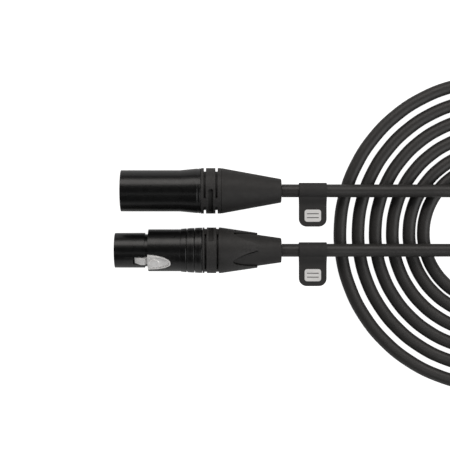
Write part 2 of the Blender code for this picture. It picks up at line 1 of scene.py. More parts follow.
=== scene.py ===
"""The looks of a wound microphone lead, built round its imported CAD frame.

Two plugs lie side by side along X with their contacts towards -X, and their one cord runs back
over a flat coil at +X. Each plug piece is modelled on the plug's own axis: x is counted from the
plug's front, the latch line is at +Z, and an angle round the axis goes from +Z towards +Y. Then it
is rolled and carried to its place in the frame. Sizes are typed in millimetres and multiplied by
MM; the cord's route is in metres.
"""

import json
import logging
import math
from collections.abc import Callable
from dataclasses import dataclass
from enum import Enum

import bmesh
import bpy
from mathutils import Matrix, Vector


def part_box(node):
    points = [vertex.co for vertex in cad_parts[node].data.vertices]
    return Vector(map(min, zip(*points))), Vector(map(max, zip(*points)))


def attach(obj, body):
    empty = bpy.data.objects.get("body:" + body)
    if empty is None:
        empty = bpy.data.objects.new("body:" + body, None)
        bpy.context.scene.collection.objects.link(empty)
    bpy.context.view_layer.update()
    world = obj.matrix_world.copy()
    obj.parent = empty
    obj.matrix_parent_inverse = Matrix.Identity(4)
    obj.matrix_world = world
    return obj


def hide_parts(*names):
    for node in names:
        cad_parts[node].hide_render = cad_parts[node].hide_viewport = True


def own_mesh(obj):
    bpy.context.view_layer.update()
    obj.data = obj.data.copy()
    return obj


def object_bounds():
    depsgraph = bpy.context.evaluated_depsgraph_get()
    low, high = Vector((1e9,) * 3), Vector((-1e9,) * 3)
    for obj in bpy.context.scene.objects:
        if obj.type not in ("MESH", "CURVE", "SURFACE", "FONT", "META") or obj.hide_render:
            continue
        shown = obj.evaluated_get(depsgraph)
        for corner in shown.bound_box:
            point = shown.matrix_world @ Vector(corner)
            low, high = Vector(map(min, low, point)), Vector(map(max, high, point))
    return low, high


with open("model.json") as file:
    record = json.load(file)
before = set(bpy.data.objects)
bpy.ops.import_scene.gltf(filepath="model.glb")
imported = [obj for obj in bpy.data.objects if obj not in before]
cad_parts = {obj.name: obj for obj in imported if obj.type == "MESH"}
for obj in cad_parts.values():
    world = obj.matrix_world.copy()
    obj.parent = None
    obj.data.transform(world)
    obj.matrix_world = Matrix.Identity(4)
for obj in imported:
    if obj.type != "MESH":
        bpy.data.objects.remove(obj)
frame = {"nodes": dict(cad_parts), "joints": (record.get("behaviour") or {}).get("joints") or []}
CAD_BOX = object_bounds()

LOG = logging.getLogger("microphone_lead")
MM = 0.001
MERGE = 2e-6
SIDES = 144
SMALL_SIDES = 40
ORIGIN = (0.0, 0.0, 0.0)
ALONG_X = (1.0, 0.0, 0.0)

Thing = bpy.types.Object
Socket = bpy.types.NodeSocket
Outline = list[tuple[float, float]]
Colour = tuple[float, float, float]


class Body(Enum):
    """The frame's moving bodies."""

    LEAD = "lead"
    LATCH = "latch"
    MALE_TAG = "male_tag"
    FEMALE_TAG = "female_tag"


class Join(Enum):
    """What a Boolean does with its tool."""

    CUT = "DIFFERENCE"
    FUSE = "UNION"
    KEEP = "INTERSECT"


class Pick(Enum):
    """What is selected in edit mode."""

    POINTS = "VERT"
    EDGES = "EDGE"
    FACES = "FACE"


# ---------------------------------------------------------------- finishes


# The colour sockets of a Mix node, which share their names with its other kinds of socket.
MIX_SHARE, MIX_FIRST, MIX_SECOND, MIX_RESULT = 0, 6, 7, 2


class NodeBoard:
    """The node tree of one new material, with short calls to add and join its nodes."""

    def __init__(self, name: str) -> None:
        """Starts a material that holds only its output and its main shader.

        Args:
            name: The material's name.
        """
        self.material = bpy.data.materials.new(name)
        self.material.use_nodes = True
        self.tree = self.material.node_tree
        self.shader = self.tree.nodes["Principled BSDF"]

    def add(self, kind: str, sockets: dict | None = None, **settings: object) -> bpy.types.Node:
        """Adds a node.

        Args:
            kind: The node's type, without its ShaderNode prefix.
            sockets: Constants of its input sockets, by name or number.
            **settings: Properties of the node, by name.

        Returns:
            The new node.
        """
        node = self.tree.nodes.new(f"ShaderNode{kind}")
        for name, value in settings.items():
            setattr(node, name, value)
        for key, value in (sockets or {}).items():
            node.inputs[key].default_value = value
        return node

    def join(self, source: Socket, target: Socket) -> None:
        """Links an output to an input."""
        self.tree.links.new(source, target)

    def place(self, stretch: Colour = (1.0, 1.0, 1.0), turn: float = 0.0) -> Socket:
        """Gives the piece's own coordinates, stretched and turned about Z.

        Args:
            stretch: Factors along X, Y and Z.
            turn: Angle about Z, in degrees.

        Returns:
            A vector socket.
        """
        mapping = self.add("Mapping", {"Scale": stretch, "Rotation": (0.0, 0.0, math.radians(turn))})
        self.join(self.add("TexCoord").outputs["Object"], mapping.inputs["Vector"])
        return mapping.outputs["Vector"]

    def noise(self, size: float, detail: float = 3.0, where: Socket | None = None) -> Socket:
        """Adds noise whose blotches are about a given size.

        Args:
            size: Blotch size in millimetres.
            detail: How many finer layers it has.
            where: The vector that it reads; the piece's own coordinates if left out.

        Returns:
            The noise's value socket, from 0 to 1.
        """
        node = self.add("TexNoise", {"Scale": 1 / (size * MM), "Detail": detail})
        self.join(where or self.place(), node.inputs["Vector"])
        return node.outputs["Fac"]

    def spread(self, source: Socket, low: float, high: float) -> Socket:
        """Maps the middle of a noise's values onto a range.

        Args:
            source: The noise.
            low: What its darker patches become.
            high: What its lighter patches become.

        Returns:
            A value socket.
        """
        ends = {"From Min": 0.3, "From Max": 0.7, "To Min": low, "To Max": high}
        node = self.add("MapRange", ends)
        self.join(source, node.inputs["Value"])
        return node.outputs["Result"]

    def blend(self, share: Socket, first: Colour, second: Colour) -> Socket:
        """Mixes two colours.

        Args:
            share: How much of the second colour there is, from 0 to 1.
            first: The colour at 0.
            second: The colour at 1.

        Returns:
            A colour socket.
        """
        colours = {MIX_FIRST: (*first, 1.0), MIX_SECOND: (*second, 1.0)}
        node = self.add("Mix", colours, data_type="RGBA")
        self.join(share, node.inputs[MIX_SHARE])
        return node.outputs[MIX_RESULT]

    def sum(self, first: Socket, second: Socket, kind: str = "ADD") -> Socket:
        """Combines two values.

        Args:
            first: The first value.
            second: The second value.
            kind: The arithmetic, as Blender's Math node names it.

        Returns:
            A value socket.
        """
        node = self.add("Math", operation=kind)
        self.join(first, node.inputs[0])
        self.join(second, node.inputs[1])
        return node.outputs[0]

    def scaled(self, source: Socket, factor: float) -> Socket:
        """Multiplies a value by a number."""
        node = self.add("Math", {1: factor}, operation="MULTIPLY")
        self.join(source, node.inputs[0])
        return node.outputs[0]

    def bump(self, height: Socket, depth: float) -> None:
        """Gives the shader a bump.

        Args:
            height: The relief, from 0 to 1.
            depth: How deep the relief is, in millimetres.
        """
        node = self.add("Bump", {"Distance": depth * MM})
        self.join(height, node.inputs["Height"])
        self.join(node.outputs["Normal"], self.shader.inputs["Normal"])


@dataclass(frozen=True)
class Finish:
    """A moulded or coated surface with a fine grain.

    Attributes:
        slot: The record's material slot.
        colour: Linear colour of the surface.
        roughness: Middle of the surface's roughness.
        metallic: 1 for bare metal.
        specular: Specular level.
        grain: Size of the grain, in millimetres.
        depth: Depth of the grain, in millimetres.
        mottle: Share by which the colour varies over the surface.
        wear: How much lighter rubbed edges are, as a linear grey.
    """

    slot: str
    colour: Colour
    roughness: float
    metallic: float = 0.0
    specular: float = 0.5
    grain: float = 0.3
    depth: float = 0.012
    mottle: float = 0.12
    wear: float = 0.02

    def shade(self, factor: float) -> Colour:
        """The finish's colour, multiplied by a factor."""
        return tuple(channel * factor for channel in self.colour)

    def relief(self, board: NodeBoard) -> Socket:
        """The height of the surface's grain, from 0 to 1."""
        return board.noise(self.grain, 4.0)

    def tint(self, board: NodeBoard) -> Socket:
        """The surface's colour: faint clouds, and lighter edges where it is handled."""
        clouds = board.spread(board.noise(self.grain * 14), 0.0, 1.0)
        base = board.blend(clouds, self.shade(1 - self.mottle), self.shade(1 + self.mottle))
        edge = board.add("Attribute", attribute_name="wear").outputs["Fac"]
        rubbed = board.sum(edge, board.spread(board.noise(0.8), 0.0, 1.0), "MULTIPLY")
        worn = (*(channel + self.wear for channel in self.colour), 1.0)
        mixed = board.add("Mix", {MIX_SECOND: worn}, data_type="RGBA")
        board.join(rubbed, mixed.inputs[MIX_SHARE])
        board.join(base, mixed.inputs[MIX_FIRST])
        return mixed.outputs[MIX_RESULT]

    def polish(self, board: NodeBoard) -> Socket:
        """The surface's roughness: it varies a little from place to place, as handling leaves it."""
        return board.spread(board.noise(self.grain * 9), self.roughness * 0.9, self.roughness * 1.1)

    def material(self) -> bpy.types.Material:
        """Makes the material."""
        board = NodeBoard(self.slot)
        board.shader.inputs["Metallic"].default_value = self.metallic
        board.shader.inputs["Specular IOR Level"].default_value = self.specular
        board.join(self.tint(board), board.shader.inputs["Base Color"])
        board.join(self.polish(board), board.shader.inputs["Roughness"])
        board.bump(self.relief(board), self.depth)
        return board.material


@dataclass(frozen=True)
class DrawnMetal(Finish):
    """Bare metal with fine lines that run across X, as turning or wiping contact leaves them."""

    line: float = 0.12

    def relief(self, board: NodeBoard) -> Socket:
        """Fine rings across X over a slight grain."""
        rings = board.noise(self.line, 2.0, board.place((1.0, 0.08, 0.08)))
        return board.sum(rings, board.scaled(board.noise(self.grain), 0.4))


@dataclass(frozen=True)
class RuledFilm(Finish):
    """A pale write-on film with a matt, slightly fibrous face."""

    fibre: float = 0.15

    def relief(self, board: NodeBoard) -> Socket:
        """Short fibres along X."""
        return board.noise(self.fibre, 3.0, board.place((0.25, 1.0, 1.0)))


@dataclass(frozen=True)
class TwistedStrands(Finish):
    """A bundle of fine wires twisted together."""

    strand: float = 0.35

    def relief(self, board: NodeBoard) -> Socket:
        """Slanting strands."""
        wave = board.add("TexWave", wave_type="BANDS", bands_direction="DIAGONAL")
        wave.inputs["Scale"].default_value = 1 / (self.strand * MM) / 20 * math.tau
        board.join(board.place(), wave.inputs["Vector"])
        return wave.outputs["Fac"]


class Look(Enum):
    """Every finish on the lead."""

    SHELL = Finish("shell_black", (0.0028, 0.0028, 0.003), 0.3, grain=0.22, depth=0.006, wear=0.02)
    NUT = Finish("bushing_black", (0.023, 0.022, 0.0215), 0.56, specular=0.35, grain=0.3, depth=0.012)
    BOOT = Finish(
        "boot_rubber", (0.024, 0.0229, 0.0223), 0.6, specular=0.35, grain=0.3, depth=0.014, wear=0.012
    )
    INSERT = Finish("insulator_black", (0.018, 0.018, 0.02), 0.45, grain=0.35)
    CONTACT = DrawnMetal("contact_silver", (0.78, 0.76, 0.72), 0.24, 1.0, grain=0.2, depth=0.003)
    LATCH = DrawnMetal("latch_nickel", (0.95, 0.94, 0.93), 0.4, 0.25, grain=0.25, depth=0.004, wear=0.1)
    SPRING = DrawnMetal("spring_steel", (0.5, 0.5, 0.5), 0.34, 1.0, grain=0.2, depth=0.003)
    CLAMP = Finish("clamp_grey", (0.2, 0.2, 0.2), 0.5, grain=0.4)
    CORD = Finish(
        "cord_jacket", (0.028, 0.0266, 0.0257), 0.46, specular=0.45, grain=0.35, depth=0.012, mottle=0.08
    )
    CORE_RED = Finish("core_red", (0.45, 0.02, 0.02), 0.42, grain=0.3)
    CORE_WHITE = Finish("core_white", (0.72, 0.71, 0.69), 0.42, grain=0.3)
    DRAIN = TwistedStrands("drain_copper", (0.72, 0.45, 0.32), 0.32, 1.0, grain=0.2, depth=0.05)
    TAG = Finish(
        "tag_charcoal", (0.029, 0.028, 0.0278), 0.66, specular=0.35, grain=0.25, depth=0.008, mottle=0.05
    )
    LABEL = RuledFilm(
        "patch_light", (0.8, 0.79, 0.78), 0.6, grain=0.3, depth=0.01, mottle=0.04, wear=0.0
    )


class Wardrobe:
    """Makes each finish's material once and hands it out."""

    def __init__(self) -> None:
        """Starts with no material made."""
        self.made: dict[Look, bpy.types.Material] = {}

    def material(self, look: Look) -> bpy.types.Material:
        """Gives a finish's material."""
        if look not in self.made:
            self.made[look] = look.value.material()
        return self.made[look]

    def dress(self, piece: Thing, look: Look, body: Body, *nodes: str) -> Thing:
        """Gives a new piece its finish and its place in the frame.

        Args:
            piece: The finished piece.
            look: Its finish.
            body: The body it moves with.
            *nodes: The CAD nodes that it stands for.

        Returns:
            The piece.
        """
        piece.data.materials.clear()
        piece.data.materials.append(self.material(look))
        if piece.type == "MESH":
            mark_wear(piece)
        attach(piece, body.value)
        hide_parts(*nodes)
        LOG.info("%s stands for %s", piece.name, ", ".join(nodes))
        return piece

    def dress_node(self, name: str, look: Look) -> None:
        """Gives a CAD node that stays in sight its finish."""
        for slot in frame["nodes"][name].material_slots:
            slot.material = self.material(look)
        LOG.info("%s is kept from the frame", name)


# ---------------------------------------------------------------- modelling


def clear_selection() -> None:
    """Leaves edit mode and deselects every object."""
    if bpy.context.object is not None and bpy.context.object.mode != "OBJECT":
        bpy.ops.object.mode_set(mode="OBJECT")
    bpy.ops.object.select_all(action="DESELECT")


def take(piece: Thing) -> None:
    """Makes one object the active one and selects only it."""
    clear_selection()
    piece.select_set(True)
    bpy.context.view_layer.objects.active = piece


def edit(piece: Thing) -> None:
    """Opens an object in edit mode with all of its mesh selected."""
    take(piece)
    bpy.ops.object.mode_set(mode="EDIT")
    bpy.ops.mesh.select_all(action="SELECT")


def pick(piece: Thing, kind: Pick, wanted: Callable[[bmesh.types.BMesh], bool]) -> None:
    """Selects points, edges or faces in edit mode by a test.

    Args:
        piece: The object that is in edit mode.
        kind: What is tested.
        wanted: The test of one bmesh element.
    """
    bpy.ops.mesh.select_mode(type=kind.value)
    bpy.ops.mesh.select_all(action="DESELECT")
    drawing = bmesh.from_edit_mesh(piece.data)
    groups = {Pick.POINTS: drawing.verts, Pick.EDGES: drawing.edges, Pick.FACES: drawing.faces}
    for item in groups[kind]:
        if wanted(item):
            item.select_set(True)
    bmesh.update_edit_mesh(piece.data)


def drawn(name: str, points: list[Vector]) -> Thing:
    """Draws a line of points by extruding one point from the next, and stays in edit mode.

    Args:
        name: The object's name.
        points: The points, in metres. A closed line ends where it starts.

    Returns:
        The object, with all of its line selected.
    """
    clear_selection()
    bpy.ops.mesh.primitive_plane_add(size=MM, location=ORIGIN)
    piece = bpy.context.object
    piece.name = name
    bpy.ops.object.mode_set(mode="EDIT")
    bpy.ops.mesh.select_mode(type=Pick.POINTS.value)
    bpy.ops.mesh.select_all(action="SELECT")
    bpy.ops.mesh.merge(type="CENTER")
    bpy.ops.transform.translate(value=points[0])
    for near, far in zip(points, points[1:]):
        bpy.ops.mesh.extrude_vertices_move(TRANSFORM_OT_translate={"value": far - near})
    bpy.ops.mesh.select_all(action="SELECT")
    bpy.ops.mesh.remove_doubles(threshold=MERGE)
    return piece


def closed_up() -> None:
    """Merges doubled points, turns all faces outwards and leaves edit mode."""
    bpy.ops.mesh.select_all(action="SELECT")
    bpy.ops.mesh.remove_doubles(threshold=MERGE)
    bpy.ops.mesh.normals_make_consistent(inside=False)
    bpy.ops.object.mode_set(mode="OBJECT")


def turned(name: str, outline: Outline, sides: int = SIDES) -> Thing:
    """Spins an outline of (x, radius) about X. It ends where it starts, or on the axis.

    Args:
        name: The object's name.
        outline: The points, in millimetres.
        sides: How many steps go round.

    Returns:
        The object.
    """
    piece = drawn(name, [Vector((x, 0.0, r)) * MM for x, r in outline])
    bpy.ops.mesh.spin(steps=sides, angle=math.tau, center=ORIGIN, axis=ALONG_X)
    closed_up()
    return piece


def prism(name: str, outline: list[Vector], along: Vector) -> Thing:
    """Fills a closed flat outline and extrudes it.

    Args:
        name: The object's name.
        outline: The points in millimetres, without a repeat of the first.
        along: The extrusion, in millimetres.

    Returns:
        The object.
    """
    piece = drawn(name, [point * MM for point in [*outline, outline[0]]])
    bpy.ops.mesh.edge_face_add()
    bpy.ops.mesh.extrude_region_move(TRANSFORM_OT_translate={"value": along * MM})
    closed_up()
    return piece


def block(name: str, low: tuple[float, float, float], high: tuple[float, float, float]) -> Thing:
    """A rectangular tool between two corners in millimetres."""
    (x0, y0, z0), (x1, y1, z1) = low, high
    base = [Vector((x0, y0, z0)), Vector((x1, y0, z0)), Vector((x1, y1, z0)), Vector((x0, y1, z0))]
    return prism(name, base, Vector((0.0, 0.0, z1 - z0)))


def applied(piece: Thing, kind: str, **settings: object) -> Thing:
    """Adds a modifier and applies it.

    Args:
        piece: The piece that is changed.
        kind: The modifier's type.
        **settings: Properties of the modifier, by name.

    Returns:
        The piece.
    """
    modifier = piece.modifiers.new(kind.lower(), kind)
    for name, value in settings.items():
        setattr(modifier, name, value)
    take(piece)
    bpy.ops.object.modifier_apply(modifier=modifier.name)
    return piece


def combined(piece: Thing, tool: Thing, how: Join) -> Thing:
    """Applies a Boolean and throws its tool away.

    Args:
        piece: The piece that is changed.
        tool: The other shape.
        how: What is done.

    Returns:
        The piece.
    """
    applied(piece, "BOOLEAN", operation=how.value, solver="EXACT", object=tool)
    bpy.data.objects.remove(tool)
    edit(piece)
    bpy.ops.mesh.remove_doubles(threshold=2 * MERGE)
    bpy.ops.object.mode_set(mode="OBJECT")
    return piece


def joined(tools: list[Thing]) -> Thing:
    """Makes one object of several that don't touch."""
    take(tools[0])
    for tool in tools[1:]:
        tool.select_set(True)
    bpy.ops.object.join()
    return tools[0]


def softened(piece: Thing, width: float, segments: int = 3, angle: float = 30.0) -> Thing:
    """Rounds every edge that is sharper than an angle.

    Args:
        piece: The piece.
        width: Width of the rounding, in millimetres.
        segments: Steps across the rounding.
        angle: The least angle between two faces, in degrees.

    Returns:
        The piece.
    """
    limits = {"limit_method": "ANGLE", "angle_limit": math.radians(angle), "miter_outer": "MITER_ARC"}
    return applied(piece, "BEVEL", width=width * MM, segments=segments, **limits)


def smoothed(piece: Thing, angle: float = 35.0) -> Thing:
    """Shades a piece smooth up to an angle, its broad faces staying true."""
    take(piece)
    bpy.ops.object.shade_smooth_by_angle(angle=math.radians(angle))
    return applied(piece, "WEIGHTED_NORMAL", keep_sharp=True)


def pulled(shift: tuple[float, float, float]) -> None:
    """Extrudes what is selected by a shift in millimetres."""
    bpy.ops.mesh.extrude_region_move(TRANSFORM_OT_translate={"value": Vector(shift) * MM})


def thickened(piece: Thing, thickness: float) -> Thing:
    """Gives a sheet in edit mode an even thickness, in millimetres, and closes it."""
    bpy.ops.object.mode_set(mode="OBJECT")
    applied(piece, "SOLIDIFY", thickness=thickness * MM, offset=0.0)
    edit(piece)
    closed_up()
    return piece


def carried(piece: Thing, place: Vector, turn: float = 0.0) -> Thing:
    """Moves a piece and turns it about X.

    Args:
        piece: The piece.
        place: Where its origin goes, in metres.
        turn: The angle, in radians.

    Returns:
        The piece, with its place in its mesh.
    """
    piece.location = place
    piece.rotation_euler = (turn, 0.0, 0.0)
    take(piece)
    bpy.ops.object.transform_apply(location=True, rotation=True, scale=True)
    return piece


def across(name: str, side: Outline, half: float) -> Thing:
    """A prism of an outline of (x, height) that reaches a distance to both sides along Y."""
    outline = [Vector((x, -half, z)) for x, z in side]
    return prism(name, outline, Vector((0.0, 2 * half, 0.0)))


def mark_wear(piece: Thing) -> None:
    """Writes the wear attribute: 1 on points in the middle of a convex rounding, else 0."""
    drawing = bmesh.new()
    drawing.from_mesh(piece.data)
    layer = drawing.verts.layers.float.new("wear")
    for edge in drawing.edges:
        if edge.is_manifold and edge.is_convex and edge.calc_face_angle() > math.radians(20.0):
            for vert in edge.verts:
                vert[layer] = 1.0
    drawing.to_mesh(piece.data)
    drawing.free()


def arc(radius: float, start: float, end: float, steps: int) -> Outline:
    """Points of an arc about (0, 0), from one angle in degrees to another."""
    turns = [math.radians(start + (end - start) * n / steps) for n in range(steps + 1)]
    return [(radius * math.cos(turn), radius * math.sin(turn)) for turn in turns]


def around(x: float, radius: float, angle: float) -> Vector:
    """The point at an angle about a plug's axis, from +Z towards +Y."""
    turn = math.radians(angle)
    return Vector((x, radius * math.sin(turn), radius * math.cos(turn)))


@dataclass(frozen=True)
class Band:
    """A tool that sweeps a rectangle part of the way round a plug, to cut a slot.

    Attributes:
        x: Middle of the slot along the plug.
        width: Width of the slot.
        start: Angle at which it starts, in degrees.
        span: Angle that it covers.
        floor: Radius of the slot's floor.
        ends: Radius that rounds the slot's ends.
    """

    x: float
    width: float
    start: float
    span: float
    floor: float
    ends: float = 0.0

    reach = 12.5

    def tool(self) -> Thing:
        """Models the tool."""
        corners = [(-1, self.floor), (1, self.floor), (1, self.reach), (-1, self.reach)]
        outline = [around(self.x + side * self.width / 2, r, self.start) * MM for side, r in corners]
        tool = drawn("slot_tool", [*outline, outline[0]])
        bpy.ops.mesh.edge_face_add()
        steps = max(6, round(self.span / 3))
        turn = math.radians(self.span)
        bpy.ops.mesh.spin(steps=steps, angle=turn, center=ORIGIN, axis=ALONG_X)
        if self.ends:
            pick(tool, Pick.EDGES, self.is_end_edge)
            bpy.ops.mesh.bevel(offset=self.ends * MM, segments=5, affect="EDGES")
        closed_up()
        return tool

    def is_end_edge(self, edge: bmesh.types.BMEdge) -> bool:
        """Tells the four edges that stand at the corners of the slot's ends."""
        near, far = (vert.co for vert in edge.verts)
        if abs(near.x - far.x) > MERGE or abs(near.yz.length - far.yz.length) < MM:
            return False
        turn = math.degrees(math.atan2(near.y, near.z))
        ends = (self.start, self.start + self.span)
        return any(abs((turn - end + 180) % 360 - 180) < 0.5 for end in ends)


@dataclass(frozen=True)
class Seat:
    """Where the front of a plug sits in the frame, and how far the plug is rolled."""

    front: Vector
    roll: float

    @classmethod
    def of(cls, node: str, roll: float) -> "Seat":
        """Finds a plug's seat from its shell.

        Args:
            node: The CAD node of the shell.
            roll: The plug's roll about X, in radians.

        Returns:
            The seat.
        """
        low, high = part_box(node)
        middle = (low + high) / 2
        return cls(Vector((low.x, middle.y, middle.z)), roll)

    def settle(self, piece: Thing, rolled: bool = True) -> Thing:
        """Carries a piece from the plug's own axis to its place.

        Args:
            piece: The piece.
            rolled: Whether it turns with the plug's shell.

        Returns:
            The piece, with its place in its mesh.
        """
        return carried(piece, self.front, self.roll if rolled else 0.0)


# ---------------------------------------------------------------- contacts


CONTACT_CIRCLE = 3.8
CONTACT_ANGLES = (70.0, -70.0, 180.0)


def contact_holes(radius: float, start: float, end: float, mouth: float) -> Thing:
    """A tool for the three contact holes, each with a countersunk mouth at its start.

    Args:
        radius: Radius of a hole.
        start: Where the holes start along the plug.
        end: Where they end.
        mouth: How much wider the mouth is. A plain hole has none.

    Returns:
        The tool.
    """
    outline = [(start - 1, 0.0), (start - 1, radius + mouth + 1), (start + mouth, radius)]
    if not mouth:
        outline = [(start, 0.0), (start, radius)]
    outline += [(end, radius), (end, 0.0)]
    tools = []
    for angle in CONTACT_ANGLES:
        tool = turned("hole_tool", outline, SMALL_SIDES)
        tools.append(carried(tool, around(0.0, CONTACT_CIRCLE, angle) * MM))
    return joined(tools)


def contact(name: str, outline: Outline, angle: float, cup: tuple[float, float]) -> Thing:
    """A turned contact whose solder cup is cut open on its outer side.

    Args:
        name: The piece's name.
        outline: Its outline of (x, radius), which starts and ends on its own axis.
        angle: Where it stands round the plug.
        cup: Where the open part of the cup starts, and where the cup ends.

    Returns:
        The contact on the plug's axis.
    """
    piece = turned(name, outline, SMALL_SIDES)
    softened(piece, 0.08, 2)
    combined(piece, block("cup_tool", (cup[0], -2.0, 0.35), (cup[1] + 1.0, 2.0, 2.5)), Join.CUT)
    return smoothed(carried(piece, around(0.0, CONTACT_CIRCLE, angle) * MM, -math.radians(angle)))


@dataclass
class PlugPart:
    """What sits on a plug.

    Attributes:
        seat: The plug's seat.
        wardrobe: The finishes.
    """

    seat: Seat
    wardrobe: Wardrobe

    def finish(self, piece: Thing, look: Look, node: str, rolled: bool = True) -> Thing:
        """Settles a piece that stays with the lead and dresses it.

        Args:
            piece: The finished piece, on the plug's own axis.
            look: Its finish.
            node: The CAD node that it stands for.
            rolled: Whether it turns with the plug's shell.

        Returns:
            The piece.
        """
        return self.wardrobe.dress(self.seat.settle(piece, rolled), look, Body.LEAD, node)


# ---------------------------------------------------------------- male plug


@dataclass
class MalePlug(PlugPart):
    """The front of the plug with pins: its barrel, its insert and its three contacts."""

    front: float = 0.5
    barrel_r: float = 9.5
    cup_r: float = 8.25
    thread_r: float = 8.9
    flare_start: float = 27.9
    flare_end: float = 35.6
    flare_rise: float = 0.78
    barrel_end: float = 37.3
    face: float = 15.9
    pin_r: float = 1.2

    def barrel(self) -> Thing:
        """The drawn metal barrel with its flared skirt, latch recess and key."""
        start = (self.front, self.barrel_r)
        outline = [start, (self.flare_start - 0.2, self.barrel_r)]
        for n in range(9):
            share = n / 8
            x = self.flare_start + (self.flare_end - self.flare_start) * share
            outline.append((x, self.barrel_r + 0.03 + (self.flare_rise - 0.03) * share))
        lip = self.barrel_r + self.flare_rise
        outline += [(self.flare_end + 0.2, lip - 0.12), (self.flare_end + 0.7, lip - 0.08)]
        outline += [(self.barrel_end - 0.5, lip + 0.1), (self.barrel_end, lip)]
        outline += [(self.barrel_end, self.thread_r), (29.6, self.thread_r), (29.6, self.cup_r)]
        outline += [(16.2, self.cup_r), (self.front + 0.35, self.cup_r)]
        outline += [(self.front, self.cup_r + 0.25), start]
        piece = turned("male_barrel", outline)
        softened(piece, 0.22)
        recess = block("recess_tool", (1.0, -2.5, 7.0), (7.0, 2.5, 8.95))
        combined(piece, recess, Join.CUT)
        key = softened(block("key", (8.0, -1.0, -self.cup_r - 0.5), (15.6, 1.0, -7.3)), 0.25)
        combined(piece, key, Join.FUSE)
        return self.finish(smoothed(piece), Look.SHELL, "male_shell")

    def insert(self) -> Thing:
        """The moulded insert that holds the pins, with a shallow dished face."""
        edge = self.cup_r - 0.3
        outline = [(self.face + 0.35, 0.0), (self.face + 0.35, edge - 1.2), (self.face, edge - 0.9)]
        outline += [(self.face, edge), (24.0, edge), (24.0, 6.2), (27.0, 6.2), (27.0, 0.0)]
        piece = softened(turned("male_insert", outline), 0.12, 2)
        holes = contact_holes(self.pin_r + 0.12, self.face + 0.35, 28.0, 0.3)
        combined(piece, holes, Join.CUT)
        return self.finish(smoothed(piece), Look.INSERT, "male_contact_carrier")

    def pins(self) -> list[Thing]:
        """The three pins with bullet tips and solder cups."""
        tip, tip_length = 1.3, 1.9
        nose = [
            (tip + tip_length * (1 - math.cos(turn)), self.pin_r * math.sin(turn))
            for turn in (math.radians(90.0 * n / 8) for n in range(9))
        ]
        outline = [*nose, (27.6, self.pin_r), (28.0, 1.45), (32.0, 1.45)]
        outline += [(32.0, 1.05), (28.6, 1.05), (28.6, 0.0)]
        pieces = []
        for number, angle in enumerate(CONTACT_ANGLES, 1):
            piece = contact(f"male_contact_{number}", outline, angle, (29.6, 32.0))
            pieces.append(self.finish(piece, Look.CONTACT, f"male_pin_{number}"))
        return pieces

    def build(self) -> list[Thing]:
        """Builds every piece."""
        return [self.barrel(), self.insert(), *self.pins()]


# ---------------------------------------------------------------- latch


PIVOT = (24.0, 7.7)
PIVOT_BORE_R = 0.5


def pivot_bore(half: float) -> Thing:
    """A tool for the bore of the latch's pivot pin, reaching half to both sides."""
    ring = arc(PIVOT_BORE_R, 0, 345, 23)
    return across("bore", [(PIVOT[0] + x, PIVOT[1] + z) for x, z in ring], half)


